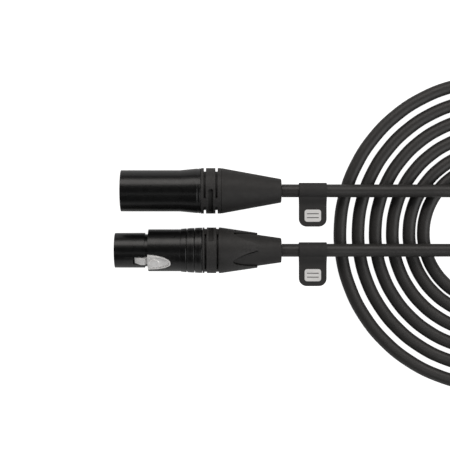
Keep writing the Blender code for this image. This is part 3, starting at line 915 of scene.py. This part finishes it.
@dataclass
class Latch(PlugPart):
    """The nickel lever with its leaf-shaped thumb piece and its hook."""

    start: float = 15.35
    length: float = 10.5
    half_width: float = 4.0
    top_r: float = 9.95
    thickness: float = 1.6
    rim: float = 0.62
    dish: float = 0.5
    boss_x: float = 18.3
    boss_r: float = 2.15
    boss_rise: float = 0.42
    hook_half: float = 1.65

    def leaf(self, extra: float, low: float, high: float, back: float = 0.0) -> Thing:
        """A prism of the thumb piece's outline.

        Args:
            extra: How much larger it is all round.
            low: The height at which it starts.
            high: The height at which it ends.
            back: How far its straight side is moved.

        Returns:
            The prism.
        """
        length, half = self.length + extra - back, self.half_width + extra
        turns = [math.radians(90.0 * n / 20) for n in range(21)]
        side = [(self.start + back + length * math.sin(turn), half * math.cos(turn)) for turn in turns]
        outline = [Vector((x, y, low)) for x, y in side]
        outline += [Vector((x, -y, low)) for x, y in reversed(side[:-1])]
        return prism("leaf", outline, Vector((0.0, 0.0, high - low)))

    def sleeve(self, inner: float, outer: float) -> Thing:
        """A turned sleeve that is longer than the thumb piece."""
        start, end = self.start - 2, self.start + self.length + 2
        corners = [(start, inner), (start, outer), (end, outer), (end, inner)]
        return turned("sleeve", [*corners, corners[0]])

    def thumb(self) -> Thing:
        """The thumb piece: a curved leaf with a raised rim and a round press mark in its dish."""
        piece = self.leaf(0.0, 5.0, 11.0)
        combined(piece, self.sleeve(self.top_r - self.thickness, self.top_r), Join.KEEP)
        hollow = self.leaf(-self.rim, 5.0, 12.0, back=self.rim * 1.6)
        combined(hollow, self.sleeve(self.top_r - self.dish, self.top_r + 2), Join.KEEP)
        mark = self.press_mark()
        combined(hollow, mark, Join.CUT)
        combined(piece, hollow, Join.CUT)
        return piece

    def press_mark(self) -> Thing:
        """The round boss that is left standing in the dish."""
        outline = [Vector((self.boss_x + x, y, 5.0)) for x, y in arc(self.boss_r, 0, 352.5, 47)]
        mark = prism("press_mark", outline, Vector((0.0, 0.0, 7.0)))
        combined(mark, self.sleeve(5.0, self.top_r - self.dish + self.boss_rise), Join.KEEP)
        return mark

    def hook(self) -> Thing:
        """The hook in front of the thumb piece: a ramp, a flat and a step."""
        side = [(9.4, 7.1), (16.6, 7.1), (16.6, 8.6), (14.9, 8.1), (14.35, 8.1), (14.35, 8.8)]
        side += [(12.4, 8.85), (9.4, 7.3)]
        return across("hook", side, self.hook_half)

    def lug(self) -> Thing:
        """The lug under the thumb piece that turns on the pivot pin."""
        side = [(22.4, 9.0), (22.6, 6.6), (23.2, 6.2), (24.9, 6.2), (25.2, 6.7), (25.2, 9.0)]
        return combined(across("lug", side, 1.2), pivot_bore(2.0), Join.CUT)

    def build(self) -> list[Thing]:
        """Builds the lever."""
        piece = self.thumb()
        combined(piece, self.hook(), Join.FUSE)
        combined(piece, self.lug(), Join.FUSE)
        piece.name = "latch_lever"
        softened(piece, 0.14, 3, 40.0)
        self.seat.settle(smoothed(piece, 40.0))
        return [self.wardrobe.dress(piece, Look.LATCH, Body.LATCH, "latch")]


@dataclass
class LatchSpring(PlugPart):
    """The leaf spring under the thumb piece, built in its resting shape; on the real lead it flattens as
    the lever is pressed.
    """

    width: float = 2.0
    thickness: float = 0.25
    foot: float = 5.95
    keep: float = 0.6

    def build(self) -> list[Thing]:
        """Draws the leaf from its foot to its tip, widens it and gives it its thickness."""
        line = [(21.8, 5.95), (21.2, 5.95), (20.6, 5.97), (20.1, 6.05), (19.6, 6.2), (18.9, 6.6)]
        line += [(18.2, 7.0), (17.6, 7.34), (17.0, 7.62), (16.6, 7.68)]
        rise = self.thickness / 2
        points = [Vector((x, -self.width / 2, z + rise)) * MM for x, z in line]
        piece = drawn("latch_leaf", points)
        pulled((0.0, self.width, 0.0))
        thickened(piece, self.thickness)
        self.finish(smoothed(softened(piece, 0.04, 2, 50.0)), Look.SPRING, "latch_spring")
        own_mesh(piece)
        return [piece]


# ---------------------------------------------------------------- female plug


@dataclass
class FemalePlug(PlugPart):
    """The front of the plug with sockets: its barrel, its insert and its three contacts.

    Attributes:
        latch: The latch whose pocket the barrel holds.
    """

    latch: Latch
    nose_r: float = 8.0
    nose_end: float = 13.8
    bore_r: float = 6.9
    neck_r: float = 7.4
    body_start: float = 15.4
    body_r: float = 9.65
    barrel_end: float = 40.2
    thread_r: float = 8.9
    insert_r: float = 6.6
    rings: tuple[tuple[float, float, float, float], ...] = (
        (30.2, 32.95, 9.8, 10.05),
        (33.25, 36.5, 10.08, 10.25),
        (36.8, 40.05, 10.28, 10.42),
    )

    def barrel(self) -> Thing:
        """The barrel: nose, neck, body and three polished rings, with the latch's openings."""
        outline = [(0.0, self.nose_r), (self.nose_end, self.nose_r), (self.nose_end, self.neck_r)]
        outline += [(self.body_start, self.neck_r), (self.body_start, self.body_r)]
        outline += [(self.rings[0][0] - 0.3, self.body_r)]
        for start, end, near, far in self.rings:
            outline += [(start, self.body_r - 0.1), (start, near - 0.08), (start + 0.25, near + 0.04)]
            outline += [((start + end) / 2, (near + far) / 2 + 0.07), (end - 0.25, far + 0.04)]
            outline += [(end, far - 0.08), (end, self.body_r - 0.1)]
        outline += [(self.barrel_end, self.body_r - 0.1), (self.barrel_end, self.thread_r)]
        outline += [(31.8, self.thread_r), (31.8, 7.6), (27.3, 7.6), (27.3, self.bore_r)]
        outline += [(0.0, self.bore_r), (0.0, self.nose_r)]
        piece = softened(turned("female_barrel", outline), 0.2)
        combined(piece, block("window_tool", (8.7, -2.1, 6.0), (15.6, 2.1, 9.5)), Join.CUT)
        combined(piece, self.latch.leaf(0.35, 5.5, 12.0), Join.CUT)
        combined(piece, pivot_bore(4.2), Join.CUT)
        combined(piece, block("keyway_tool", (-1.0, -1.3, -9.0), (8.5, 1.3, -6.0)), Join.CUT)
        return self.finish(smoothed(piece), Look.SHELL, "female_shell")

    def insert(self) -> Thing:
        """The moulded insert with three countersunk holes and a raised middle."""
        outline = [(0.6, 0.0), (0.6, 1.3), (0.85, 1.5), (0.85, 5.85), (0.6, 6.1), (0.6, self.insert_r)]
        outline += [(26.8, self.insert_r), (26.8, 0.0)]
        piece = softened(turned("female_insert", outline), 0.15, 2)
        combined(piece, block("slot_tool", (7.5, -2.4, 5.6), (28.0, 2.4, 8.0)), Join.CUT)
        combined(piece, contact_holes(1.4, 0.85, 3.2, 0.3), Join.CUT)
        combined(piece, contact_holes(1.75, 2.6, 28.0, 0.0), Join.CUT)
        edit(piece)
        bpy.ops.mesh.fill_holes(sides=0)
        closed_up()
        return self.finish(smoothed(piece), Look.INSERT, "female_contact_carrier")

    def sockets(self) -> list[Thing]:
        """The three sockets; the first one stands a little further forward."""
        pieces = []
        for number, angle in enumerate(CONTACT_ANGLES, 1):
            start = 2.1 if number == 1 else 2.6
            outline = [(24.0, 0.0), (24.0, 1.25), (start, 1.25), (start, 1.6), (26.0, 1.6), (26.0, 1.45)]
            outline += [(31.3, 1.45), (31.3, 1.05), (27.9, 1.05), (27.9, 0.0)]
            piece = contact(f"female_contact_{number}", outline, angle, (28.9, 31.3))
            pieces.append(self.finish(piece, Look.CONTACT, f"female_socket_{number}"))
        return pieces

    def build(self) -> list[Thing]:
        """Builds every piece."""
        return [self.barrel(), self.insert(), *self.sockets()]


# ---------------------------------------------------------------- nuts and boots


@dataclass
class GripNut(PlugPart):
    """A threaded gland nut with two slotted grooves and a window between them.

    Attributes:
        plug: The plug's name.
        outline: The nut's outline of (x, radius), which ends where it starts.
        slots: The slots in its grooves.
        window: The window between the grooves.
    """

    plug: str
    outline: Outline
    slots: list[Band]
    window: Band

    def shape(self) -> Thing:
        """Turns the nut and cuts its slots and window."""
        piece = turned(f"{self.plug}_nut", self.outline)
        tools = [band.tool() for band in [*self.slots, self.window]]
        return softened(combined(piece, joined(tools), Join.CUT), 0.13, 2, 40.0)

    def build(self) -> list[Thing]:
        """Builds the nut."""
        piece = smoothed(self.shape())
        return [self.finish(piece, Look.NUT, f"{self.plug}_bushing", rolled=False)]


@dataclass
class PetalNut(GripNut):
    """A gland nut whose cone ends in four petals over the boot.

    Attributes:
        valley_start: Where the valleys between the petals start.
        petal_end: Where the petals end.
        first_valley: Angle of the first valley's middle.
    """

    valley_start: float = 54.3
    petal_end: float = 65.5
    first_valley: float = -34.0

    def valley_half(self, x: float) -> float:
        """Half the angle that a valley covers at x, in degrees: it opens fast, then steadily."""
        opening = 7.9 * (x - self.valley_start) ** 0.6
        tip_length = 1.7
        into_tip = (x - (self.petal_end - tip_length)) / tip_length
        if into_tip <= 0:
            return opening
        petal = (45.0 - opening) * math.sqrt(max(0.0, 1 - into_tip**2))
        return 45.0 - max(petal, 1.0)

    def valley_tool(self, middle: float, gap: float = 0.0) -> Thing:
        """A wedge that widens along X: a face that is extruded and resized step by step.

        Args:
            middle: Angle of the valley's middle, in degrees.
            gap: How much narrower the wedge is on each side, in degrees.

        Returns:
            The tool.
        """
        steps = 18
        reach = self.petal_end + 0.02 - self.valley_start
        stations = [self.valley_start + 0.05 + reach * (n / steps) ** 1.4 for n in range(steps)]
        halves = [max(self.valley_half(x) - gap, 0.15) for x in stations]
        corners = [(6.6, -1), (6.6, 1), (14.0, 1), (14.0, -1)]
        outline = [around(stations[0], r, side * halves[0]) * MM for r, side in corners]
        tool = drawn("valley_tool", [*outline, outline[0]])
        bpy.ops.mesh.edge_face_add()
        turns = [math.radians(half) for half in halves]
        for n in range(1, steps):
            step = Vector(((stations[n] - stations[n - 1]) * MM, 0.0, 0.0))
            bpy.ops.mesh.extrude_region_move(TRANSFORM_OT_translate={"value": step})
            wider = math.sin(turns[n]) / math.sin(turns[n - 1])
            lower = math.cos(turns[n]) / math.cos(turns[n - 1])
            bpy.ops.transform.resize(value=(1.0, wider, lower), center_override=ORIGIN)
        pulled((1.0, 0.0, 0.0))
        closed_up()
        return carried(tool, Vector(ORIGIN), -math.radians(middle))

    def shape(self) -> Thing:
        """Turns the nut, cuts its slots and window, then the valleys between its petals."""
        piece = super().shape()
        for number in range(4):
            combined(piece, self.valley_tool(self.first_valley + 90.0 * number), Join.CUT)
        return piece


@dataclass
class Boot(PlugPart):
    """The tapered strain relief behind a nut.

    Attributes:
        plug: The plug's name.
        outline: Its outline of (x, radius), which ends where it starts.
    """

    plug: str
    outline: Outline

    def shape(self) -> Thing:
        """Turns the boot and rounds its edges."""
        return softened(turned(f"{self.plug}_relief", self.outline), 0.35, 4)

    def build(self) -> list[Thing]:
        """Builds the boot."""
        piece = smoothed(self.shape())
        return [self.finish(piece, Look.BOOT, f"{self.plug}_boot", rolled=False)]


@dataclass
class PetalBoot(Boot):
    """The strain relief that fills the valleys of a petal nut and is lower under its petals.

    Attributes:
        nut: The nut that it sits in.
        drop: How much lower it is under the petals.
        gap: The dark line that stays round each petal, in degrees.
    """

    nut: PetalNut
    drop: float = 1.3
    gap: float = 3.4

    def shape(self) -> Thing:
        """Turns the boot and takes away a skin under the petals."""
        piece = super().shape()
        start, end = self.outline[1], self.outline[2]
        skin = [(start[0] - 1, start[1] - self.drop), (start[0] - 1, 14.0), (end[0], 14.0)]
        skin += [(end[0], end[1] - self.drop), skin[0]]
        skin = turned("skin", skin)
        for number in range(4):
            filling = self.nut.valley_tool(self.nut.first_valley + 90.0 * number, self.gap)
            combined(skin, filling, Join.CUT)
        return combined(piece, skin, Join.CUT)


def male_rear(seat: Seat, wardrobe: Wardrobe) -> tuple[GripNut, Boot]:
    """Sizes the nut and boot of the plug with pins.

    Args:
        seat: The plug's seat.
        wardrobe: The finishes.

    Returns:
        The nut and the boot.
    """
    grip = 10.5
    outline = [(31.0, 7.2), (31.0, 8.6), (37.4, 8.6), (37.4, grip), (46.6, grip), (46.6, 6.6)]
    outline += [(60.0, 5.0), (60.0, 3.4), (49.0, 3.4), (47.6, 5.3), (38.0, 7.2), (31.0, 7.2)]
    slots = [Band(x, 1.05, start, 154.0, 8.9) for x in (39.15, 44.5) for start in (-21.0, 159.0)]
    window = Band(41.9, 2.15, -80.0, 83.0, 9.3, 0.9)
    nut = GripNut(seat, wardrobe, "male", outline, slots, window)
    sleeve = [(46.62, 6.95), (46.62, grip), (73.9, 5.52), (74.3, 5.4), (74.3, 3.55), (72.6, 3.15)]
    sleeve += [(60.4, 3.15), (60.4, 5.3), (46.62, 6.95)]
    return nut, Boot(seat, wardrobe, "male", sleeve)


def female_rear(seat: Seat, wardrobe: Wardrobe) -> tuple[PetalNut, Boot]:
    """Sizes the nut and boot of the plug with sockets.

    Args:
        seat: The plug's seat.
        wardrobe: The finishes.

    Returns:
        The nut and the boot.
    """
    grip = 10.5
    outline = [(33.0, 7.2), (33.0, 8.6), (40.3, 8.6), (40.3, grip), (41.1, grip), (41.1, 9.9)]
    outline += [(42.3, 9.9), (42.3, grip), (46.55, grip), (46.55, 9.9), (47.75, 9.9), (47.75, grip)]
    outline += [(48.8, grip), (65.5, 8.04), (65.5, 7.45), (49.5, 9.75), (49.5, 5.6)]
    outline += [(41.0, 7.2), (33.0, 7.2)]
    slots = [Band(x, 0.7, start, 111.0, 8.1) for x in (41.65, 47.15) for start in (-61.0, 119.0)]
    window = Band(44.25, 2.2, 24.0, 57.0, 9.2, 0.9)
    nut = PetalNut(seat, wardrobe, "female", outline, slots, window)
    sleeve = [(49.8, 5.6), (49.8, 9.5), (65.5, 7.2), (76.1, 5.68), (76.5, 5.55), (76.5, 3.55)]
    sleeve += [(74.8, 3.15), (52.0, 3.15), (51.1, 5.3), (49.8, 5.6)]
    return nut, PetalBoot(seat, wardrobe, "female", sleeve, nut)


# ---------------------------------------------------------------- tags


@dataclass
class Tag:
    """A soft strap folded round a lead, its two ends pressed together, with a write-on label.

    Attributes:
        plug: The plug whose lead it hangs on.
        body: The body it moves with.
        wardrobe: The finishes.
    """

    plug: str
    body: Body
    wardrobe: Wardrobe
    strap: float = 0.47
    loop_r: float = 3.43
    layer: float = 0.26
    neck_end: float = -7.8
    corner: float = 3.6
    label_size: tuple[float, float] = (7.6, 5.6)
    label_corner: float = 1.2
    label_y: float = -11.5
    label_top: float = 0.62

    def __post_init__(self) -> None:
        """Reads the strap's place from the frame."""
        low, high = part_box(f"{self.plug}_tag_strap")
        self.start = low.x / MM
        self.width = (high.x - low.x) / MM
        self.height = (low.z + high.z) / 2 / MM
        self.axis_y = high.y / MM - self.loop_r - self.strap / 2
        self.tail = self.axis_y - low.y / MM

    def band(self) -> Thing:
        """The strap: a line from one tail end round the lead to the other, widened and thickened."""
        tail, layer = -self.tail, self.layer
        round_lead = arc(self.loop_r, 143, -143, 44)
        near_y, near_z = round_lead[0]
        upper = [(tail, layer), (-13.0, layer), (self.neck_end, layer)]
        for n in range(1, 12):
            share = n / 12
            eased = 0.5 - 0.5 * math.cos(math.pi * share**1.25)
            y = self.neck_end + (near_y - self.neck_end) * share
            upper.append((y, layer + (near_z - layer) * eased))
        line = upper + round_lead + [(y, -z) for y, z in reversed(upper)]
        points = [Vector((self.start, self.axis_y + y, self.height + z)) * MM for y, z in line]
        piece = drawn(f"{self.plug}_band", points)
        pulled((self.width, 0.0, 0.0))
        end_y = (self.axis_y + tail) * MM
        pick(piece, Pick.POINTS, lambda vert: vert.co.y < end_y + MERGE)
        bpy.ops.mesh.bevel(offset=self.corner * MM, segments=8, affect="VERTICES")
        thickened(piece, self.strap)
        smoothed(softened(piece, 0.12, 3, 50.0), 45.0)
        return self.wardrobe.dress(piece, Look.TAG, self.body, f"{self.plug}_tag_strap")

    def label(self) -> Thing:
        """The write-on label: a thin film with round corners and two ruled grooves."""
        middle = Vector((self.start + self.width / 2, self.axis_y + self.label_y, self.height)) * MM
        clear_selection()
        bpy.ops.mesh.primitive_plane_add(size=1.0, location=middle + Vector((0.0, 0.0, 0.505 * MM)))
        piece = bpy.context.object
        piece.name = f"{self.plug}_label"
        bpy.ops.object.transform_apply(location=True, rotation=True, scale=True)
        edit(piece)
        long, short = (side * MM for side in self.label_size)
        bpy.ops.transform.resize(value=(long, short, 1.0), center_override=middle)
        bpy.ops.mesh.bevel(offset=self.label_corner * MM, segments=6, affect="VERTICES")
        bpy.ops.mesh.select_all(action="SELECT")
        rise = (self.label_top - 0.505) * MM
        bpy.ops.mesh.extrude_region_move(TRANSFORM_OT_translate={"value": (0.0, 0.0, rise)})
        closed_up()
        x, y, z = middle / MM
        for line in (-0.9, 0.9):
            rule = block("rule", (x - 2.7, y + line - 0.18, z), (x + 2.7, y + line + 0.18, z + 1.0))
            combined(piece, rule, Join.CUT)
        softened(piece, 0.05, 2)
        smoothed(piece)
        return self.wardrobe.dress(piece, Look.LABEL, self.body, f"{self.plug}_tag_patch")

    def build(self) -> list[Thing]:
        """Builds the strap and its label."""
        return [self.band(), self.label()]


# ---------------------------------------------------------------- cord


@dataclass
class Cord:
    """The one cord: out of the male plug, round the coil from the inside, and back to the female plug.

    Attributes:
        wardrobe: The finishes.
    """

    wardrobe: Wardrobe
    radius: float = 0.003
    turn_radii: tuple[float, ...] = (0.03205, 0.0388, 0.04655, 0.05455, 0.06255, 0.071)
    points_per_turn: int = 30
    join_angle: float = -75.0
    shift_start: float = 50.0
    rise_start: float = 85.0
    leave_angle: float = 51.0
    entry_r: float = 0.02585
    over_coil: float = 0.0093
    length: float = 2.19

    MALE_ROUTE = (
        (0.0281, 0.0167, 0.0105),
        (0.0390, 0.0167, 0.0105),
        (0.0500, 0.0167, 0.01045),
        (0.0620, 0.0167, 0.00965),
        (0.0750, 0.0167, 0.0093),
        (0.0900, 0.0167, 0.0093),
        (0.1040, 0.0167, 0.0093),
        (0.1130, 0.0166, 0.0087),
        (0.1212, 0.0163, 0.0074),
        (0.1290, 0.0157, 0.0060),
        (0.1362, 0.0142, 0.0047),
        (0.1428, 0.0106, 0.0037),
        (0.1478, 0.0056, 0.00315),
        (0.1516, 0.0014, 0.0030),
    )
    FEMALE_ROUTE = (
        (0.0281, -0.0107, 0.0105),
        (0.0390, -0.0107, 0.0105),
        (0.0500, -0.0107, 0.01045),
        (0.0620, -0.0107, 0.00965),
        (0.0750, -0.0107, 0.0093),
        (0.0900, -0.0107, 0.0093),
        (0.1060, -0.0107, 0.0093),
        (0.1220, -0.0107, 0.0093),
        (0.1360, -0.0107, 0.0093),
    )
    BEND_CENTRE = (0.1487, 0.0248)
    BEND_R = 0.0355

    def __post_init__(self) -> None:
        """Reads the coil's place from the frame."""
        low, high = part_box("cord_coil")
        self.centre = (low + high) / 2

    def on_coil(self, radius: float, angle: float, height: float) -> Vector:
        """A point at a distance and an angle, in degrees, from the coil's centre."""
        turn = math.radians(angle)
        flat = Vector((self.centre.x, self.centre.y, 0.0))
        return flat + Vector((radius * math.cos(turn), radius * math.sin(turn), height))

    @staticmethod
    def swept(middle: Vector, radius: float, angles: range) -> list[Vector]:
        """Points on a level circle, at whole angles in degrees."""
        turns = [math.radians(angle) for angle in angles]
        return [middle + Vector((math.cos(turn), math.sin(turn), 0.0)) * radius for turn in turns]

    @staticmethod
    def eased(share: float) -> float:
        """A share from 0 to 1 that starts and ends gently."""
        return share * share * (3 - 2 * share)

    def entry(self) -> list[Vector]:
        """The curve from the male lead's end onto the innermost turn, clockwise."""
        apart = self.turn_radii[0] - self.entry_r
        middle = self.on_coil(apart, self.join_angle, self.radius)
        return self.swept(middle, self.entry_r, range(12, round(self.join_angle), -12))

    def turns(self) -> list[Vector]:
        """The six turns, clockwise and outwards. Each moves out to the next between two angles."""
        points = []
        step = 360.0 / self.points_per_turn
        last = len(self.turn_radii) - 1
        shift_span = self.shift_start - self.join_angle
        for number, radius in enumerate(self.turn_radii):
            wider = self.turn_radii[min(number + 1, last)]
            for n in range(self.points_per_turn):
                angle = self.join_angle - step * n
                left = (angle - self.join_angle) + 360.0
                share = max(0.0, 1 - left / shift_span)
                if number == last and left < self.leave_angle - self.join_angle:
                    break
                height = self.radius
                if number == last:
                    climb = self.rise_start - self.join_angle - left
                    climb = min(1.0, max(0.0, climb / (self.rise_start - self.leave_angle)))
                    height += (self.over_coil - self.radius) * self.eased(climb)
                reach = radius + (wider - radius) * self.eased(share)
                points.append(self.on_coil(reach, angle, height))
        return points

    def bend(self) -> list[Vector]:
        """The open bend from the outermost turn back to the female lead."""
        middle = Vector((*self.BEND_CENTRE, self.over_coil))
        return self.swept(middle, self.BEND_R, range(40, -100, -14))

    def build(self) -> list[Thing]:
        route = [Vector(point) for point in self.MALE_ROUTE]
        route += self.entry() + self.turns() + self.bend()
        route += [Vector(point) for point in reversed(self.FEMALE_ROUTE)]
        curve = bpy.data.curves.new("cord", "CURVE")
        curve.dimensions = "3D"
        curve.bevel_depth = self.radius
        curve.bevel_resolution = 8
        curve.resolution_u = 5
        curve.use_fill_caps = True
        spline = curve.splines.new("BEZIER")
        spline.bezier_points.add(len(route) - 1)
        for knot, point in zip(spline.bezier_points, route):
            knot.co = point
            knot.handle_left_type = "AUTO"
            knot.handle_right_type = "AUTO"
        piece = bpy.data.objects.new("cord", curve)
        bpy.context.scene.collection.objects.link(piece)
        nodes = ("cord_coil", "cord_lead_male", "cord_lead_female")
        self.wardrobe.dress(piece, Look.CORD, Body.LEAD, *nodes)
        return [piece]


# ---------------------------------------------------------------- inner parts


INNER_LOOKS = {
    f"{plug}_{node}": look
    for node, look in (
        ("cable_clamp", Look.CLAMP),
        ("jacket_end", Look.CORD),
        ("core_hot", Look.CORE_RED),
        ("core_cold", Look.CORE_WHITE),
        ("drain_wire", Look.DRAIN),
    )
    for plug in ("male", "female")
}
INNER_LOOKS |= {"female_earth_spring": Look.SPRING, "latch_pivot_pin": Look.CONTACT}


# ---------------------------------------------------------------- studio


@dataclass(frozen=True)
class Softbox:
    """A soft light that looks at the lead.

    Attributes:
        name: The light's name.
        tilt: Angle from straight up, in degrees.
        bearing: Direction round the vertical: 0 is +Y and 90 is +X.
        away: Distance from the lead, in metres.
        size: Width and height in metres.
        radiance: Brightness of its face.
        colour: Its colour.
    """

    name: str
    tilt: float
    bearing: float
    away: float
    size: tuple[float, float]
    radiance: float
    colour: Colour = (1.0, 1.0, 1.0)

    def hang(self, target: Vector) -> None:
        """Adds the light, unseen by the camera itself.

        Args:
            target: The point that it looks at.
        """
        tilt, bearing = math.radians(self.tilt), math.radians(self.bearing)
        flat = math.sin(tilt)
        direction = Vector((flat * math.sin(bearing), flat * math.cos(bearing), math.cos(tilt)))
        data = bpy.data.lights.new(self.name, "AREA")
        data.shape = "RECTANGLE"
        data.size, data.size_y = self.size
        data.energy = self.radiance * math.pi * self.size[0] * self.size[1]
        data.color = self.colour
        light = bpy.data.objects.new(self.name, data)
        light.location = target + direction * self.away
        light.rotation_euler = (-direction).to_track_quat("-Z", "Y").to_euler()
        light.visible_camera = False
        bpy.context.scene.collection.objects.link(light)


@dataclass
class Studio:
    """A white sweep, soft light and a camera straight above the plugs.

    Attributes:
        camera_place: Where the camera hangs, in metres.
        lens: The camera's lens, in millimetres.
    """

    camera_place: tuple[float, float, float] = (0.0019, 0.00095, 0.5577)
    lens: float = 95.0
    floor_size: float = 8.0
    floor_glow: float = 0.25
    floor_grey: float = 0.45
    backdrop: float = 1.0
    ambient: float = 0.035
    softboxes: tuple[Softbox, ...] = (
        Softbox("key", 50.0, 4.0, 0.9, (1.8, 0.5), 2.45, (1.0, 0.965, 0.935)),
        Softbox("top", 18.0, 180.0, 1.3, (1.6, 0.12), 0.8),
        Softbox("right", 50.0, 116.0, 1.0, (1.0, 0.9), 1.9),
        Softbox("left", 60.0, 246.0, 1.0, (0.9, 0.6), 0.2),
        Softbox("front", 80.0, 180.0, 0.9, (1.8, 0.4), 0.46),
    )

    def camera(self) -> None:
        """Hangs the camera, which looks straight down with +Y up the picture."""
        data = bpy.data.cameras.new("camera")
        data.lens = self.lens
        data.clip_start, data.clip_end = 0.02, 20.0
        camera = bpy.data.objects.new("camera", data)
        camera.location = self.camera_place
        bpy.context.scene.collection.objects.link(camera)
        bpy.context.scene.camera = camera

    def floor(self) -> None:
        """Lays the floor: white in sight, and a plain pale surface to all other light."""
        clear_selection()
        bpy.ops.mesh.primitive_plane_add(size=self.floor_size, location=(0.0, 0.0, CAD_BOX[0].z))
        floor = bpy.context.object
        floor.name = "floor"
        board = NodeBoard("floor_white")
        grey = self.floor_grey
        board.shader.inputs["Base Color"].default_value = (grey, grey, grey, 1.0)
        board.shader.inputs["Roughness"].default_value = 0.9
        board.shader.inputs["Specular IOR Level"].default_value = 0.1
        board.shader.inputs["Emission Color"].default_value = (1.0, 1.0, 1.0, 1.0)
        glow = board.add("MapRange", {"To Min": self.floor_glow, "To Max": self.backdrop})
        board.join(board.add("LightPath").outputs["Is Camera Ray"], glow.inputs["Value"])
        board.join(glow.outputs["Result"], board.shader.inputs["Emission Strength"])
        floor.data.materials.append(board.material)

    def surroundings(self) -> None:
        """A white room in sight, and a dim one to all other light."""
        world = bpy.data.worlds.new("room")
        world.use_nodes = True
        bpy.context.scene.world = world
        tree = world.node_tree
        background = tree.nodes["Background"]
        background.inputs["Color"].default_value = (1.0, 1.0, 1.0, 1.0)
        strength = tree.nodes.new("ShaderNodeMapRange")
        strength.inputs["To Min"].default_value = self.ambient
        strength.inputs["To Max"].default_value = self.backdrop
        path = tree.nodes.new("ShaderNodeLightPath")
        tree.links.new(path.outputs["Is Camera Ray"], strength.inputs["Value"])
        tree.links.new(strength.outputs["Result"], background.inputs["Strength"])

    def build(self) -> None:
        """Sets the studio up."""
        bpy.context.scene.view_settings.view_transform = "Standard"
        self.camera()
        self.floor()
        self.surroundings()
        for softbox in self.softboxes:
            softbox.hang(Vector((0.03, 0.0, 0.01)))


# ---------------------------------------------------------------- the whole lead


def latch_roll() -> float:
    """The roll of the two plugs, in radians, read from the latch's hinge line."""
    joint = next(joint for joint in frame["joints"] if joint["name"] == "latch_press")
    axis = joint["axis"]
    return math.atan2(-axis[2], -axis[1])


def main() -> None:
    """Builds the studio and every piece in order, and reports each piece."""
    logging.basicConfig(level=logging.INFO, format="%(name)s: %(message)s")
    wardrobe = Wardrobe()
    Studio().build()
    roll = latch_roll()
    male_seat = Seat.of("male_shell", roll)
    female_seat = Seat.of("female_shell", roll)
    latch = Latch(female_seat, wardrobe)
    makers = [
        Cord(wardrobe),
        MalePlug(male_seat, wardrobe),
        *male_rear(male_seat, wardrobe),
        FemalePlug(female_seat, wardrobe, latch),
        *female_rear(female_seat, wardrobe),
        latch,
        LatchSpring(female_seat, wardrobe),
        Tag("male", Body.MALE_TAG, wardrobe),
        Tag("female", Body.FEMALE_TAG, wardrobe),
    ]
    for maker in makers:
        for piece in maker.build():
            LOG.info("%s: %s is finished", type(maker).__name__, piece.name)
    for node, look in INNER_LOOKS.items():
        wardrobe.dress_node(node, look)


if __name__ == "__main__":
    main()
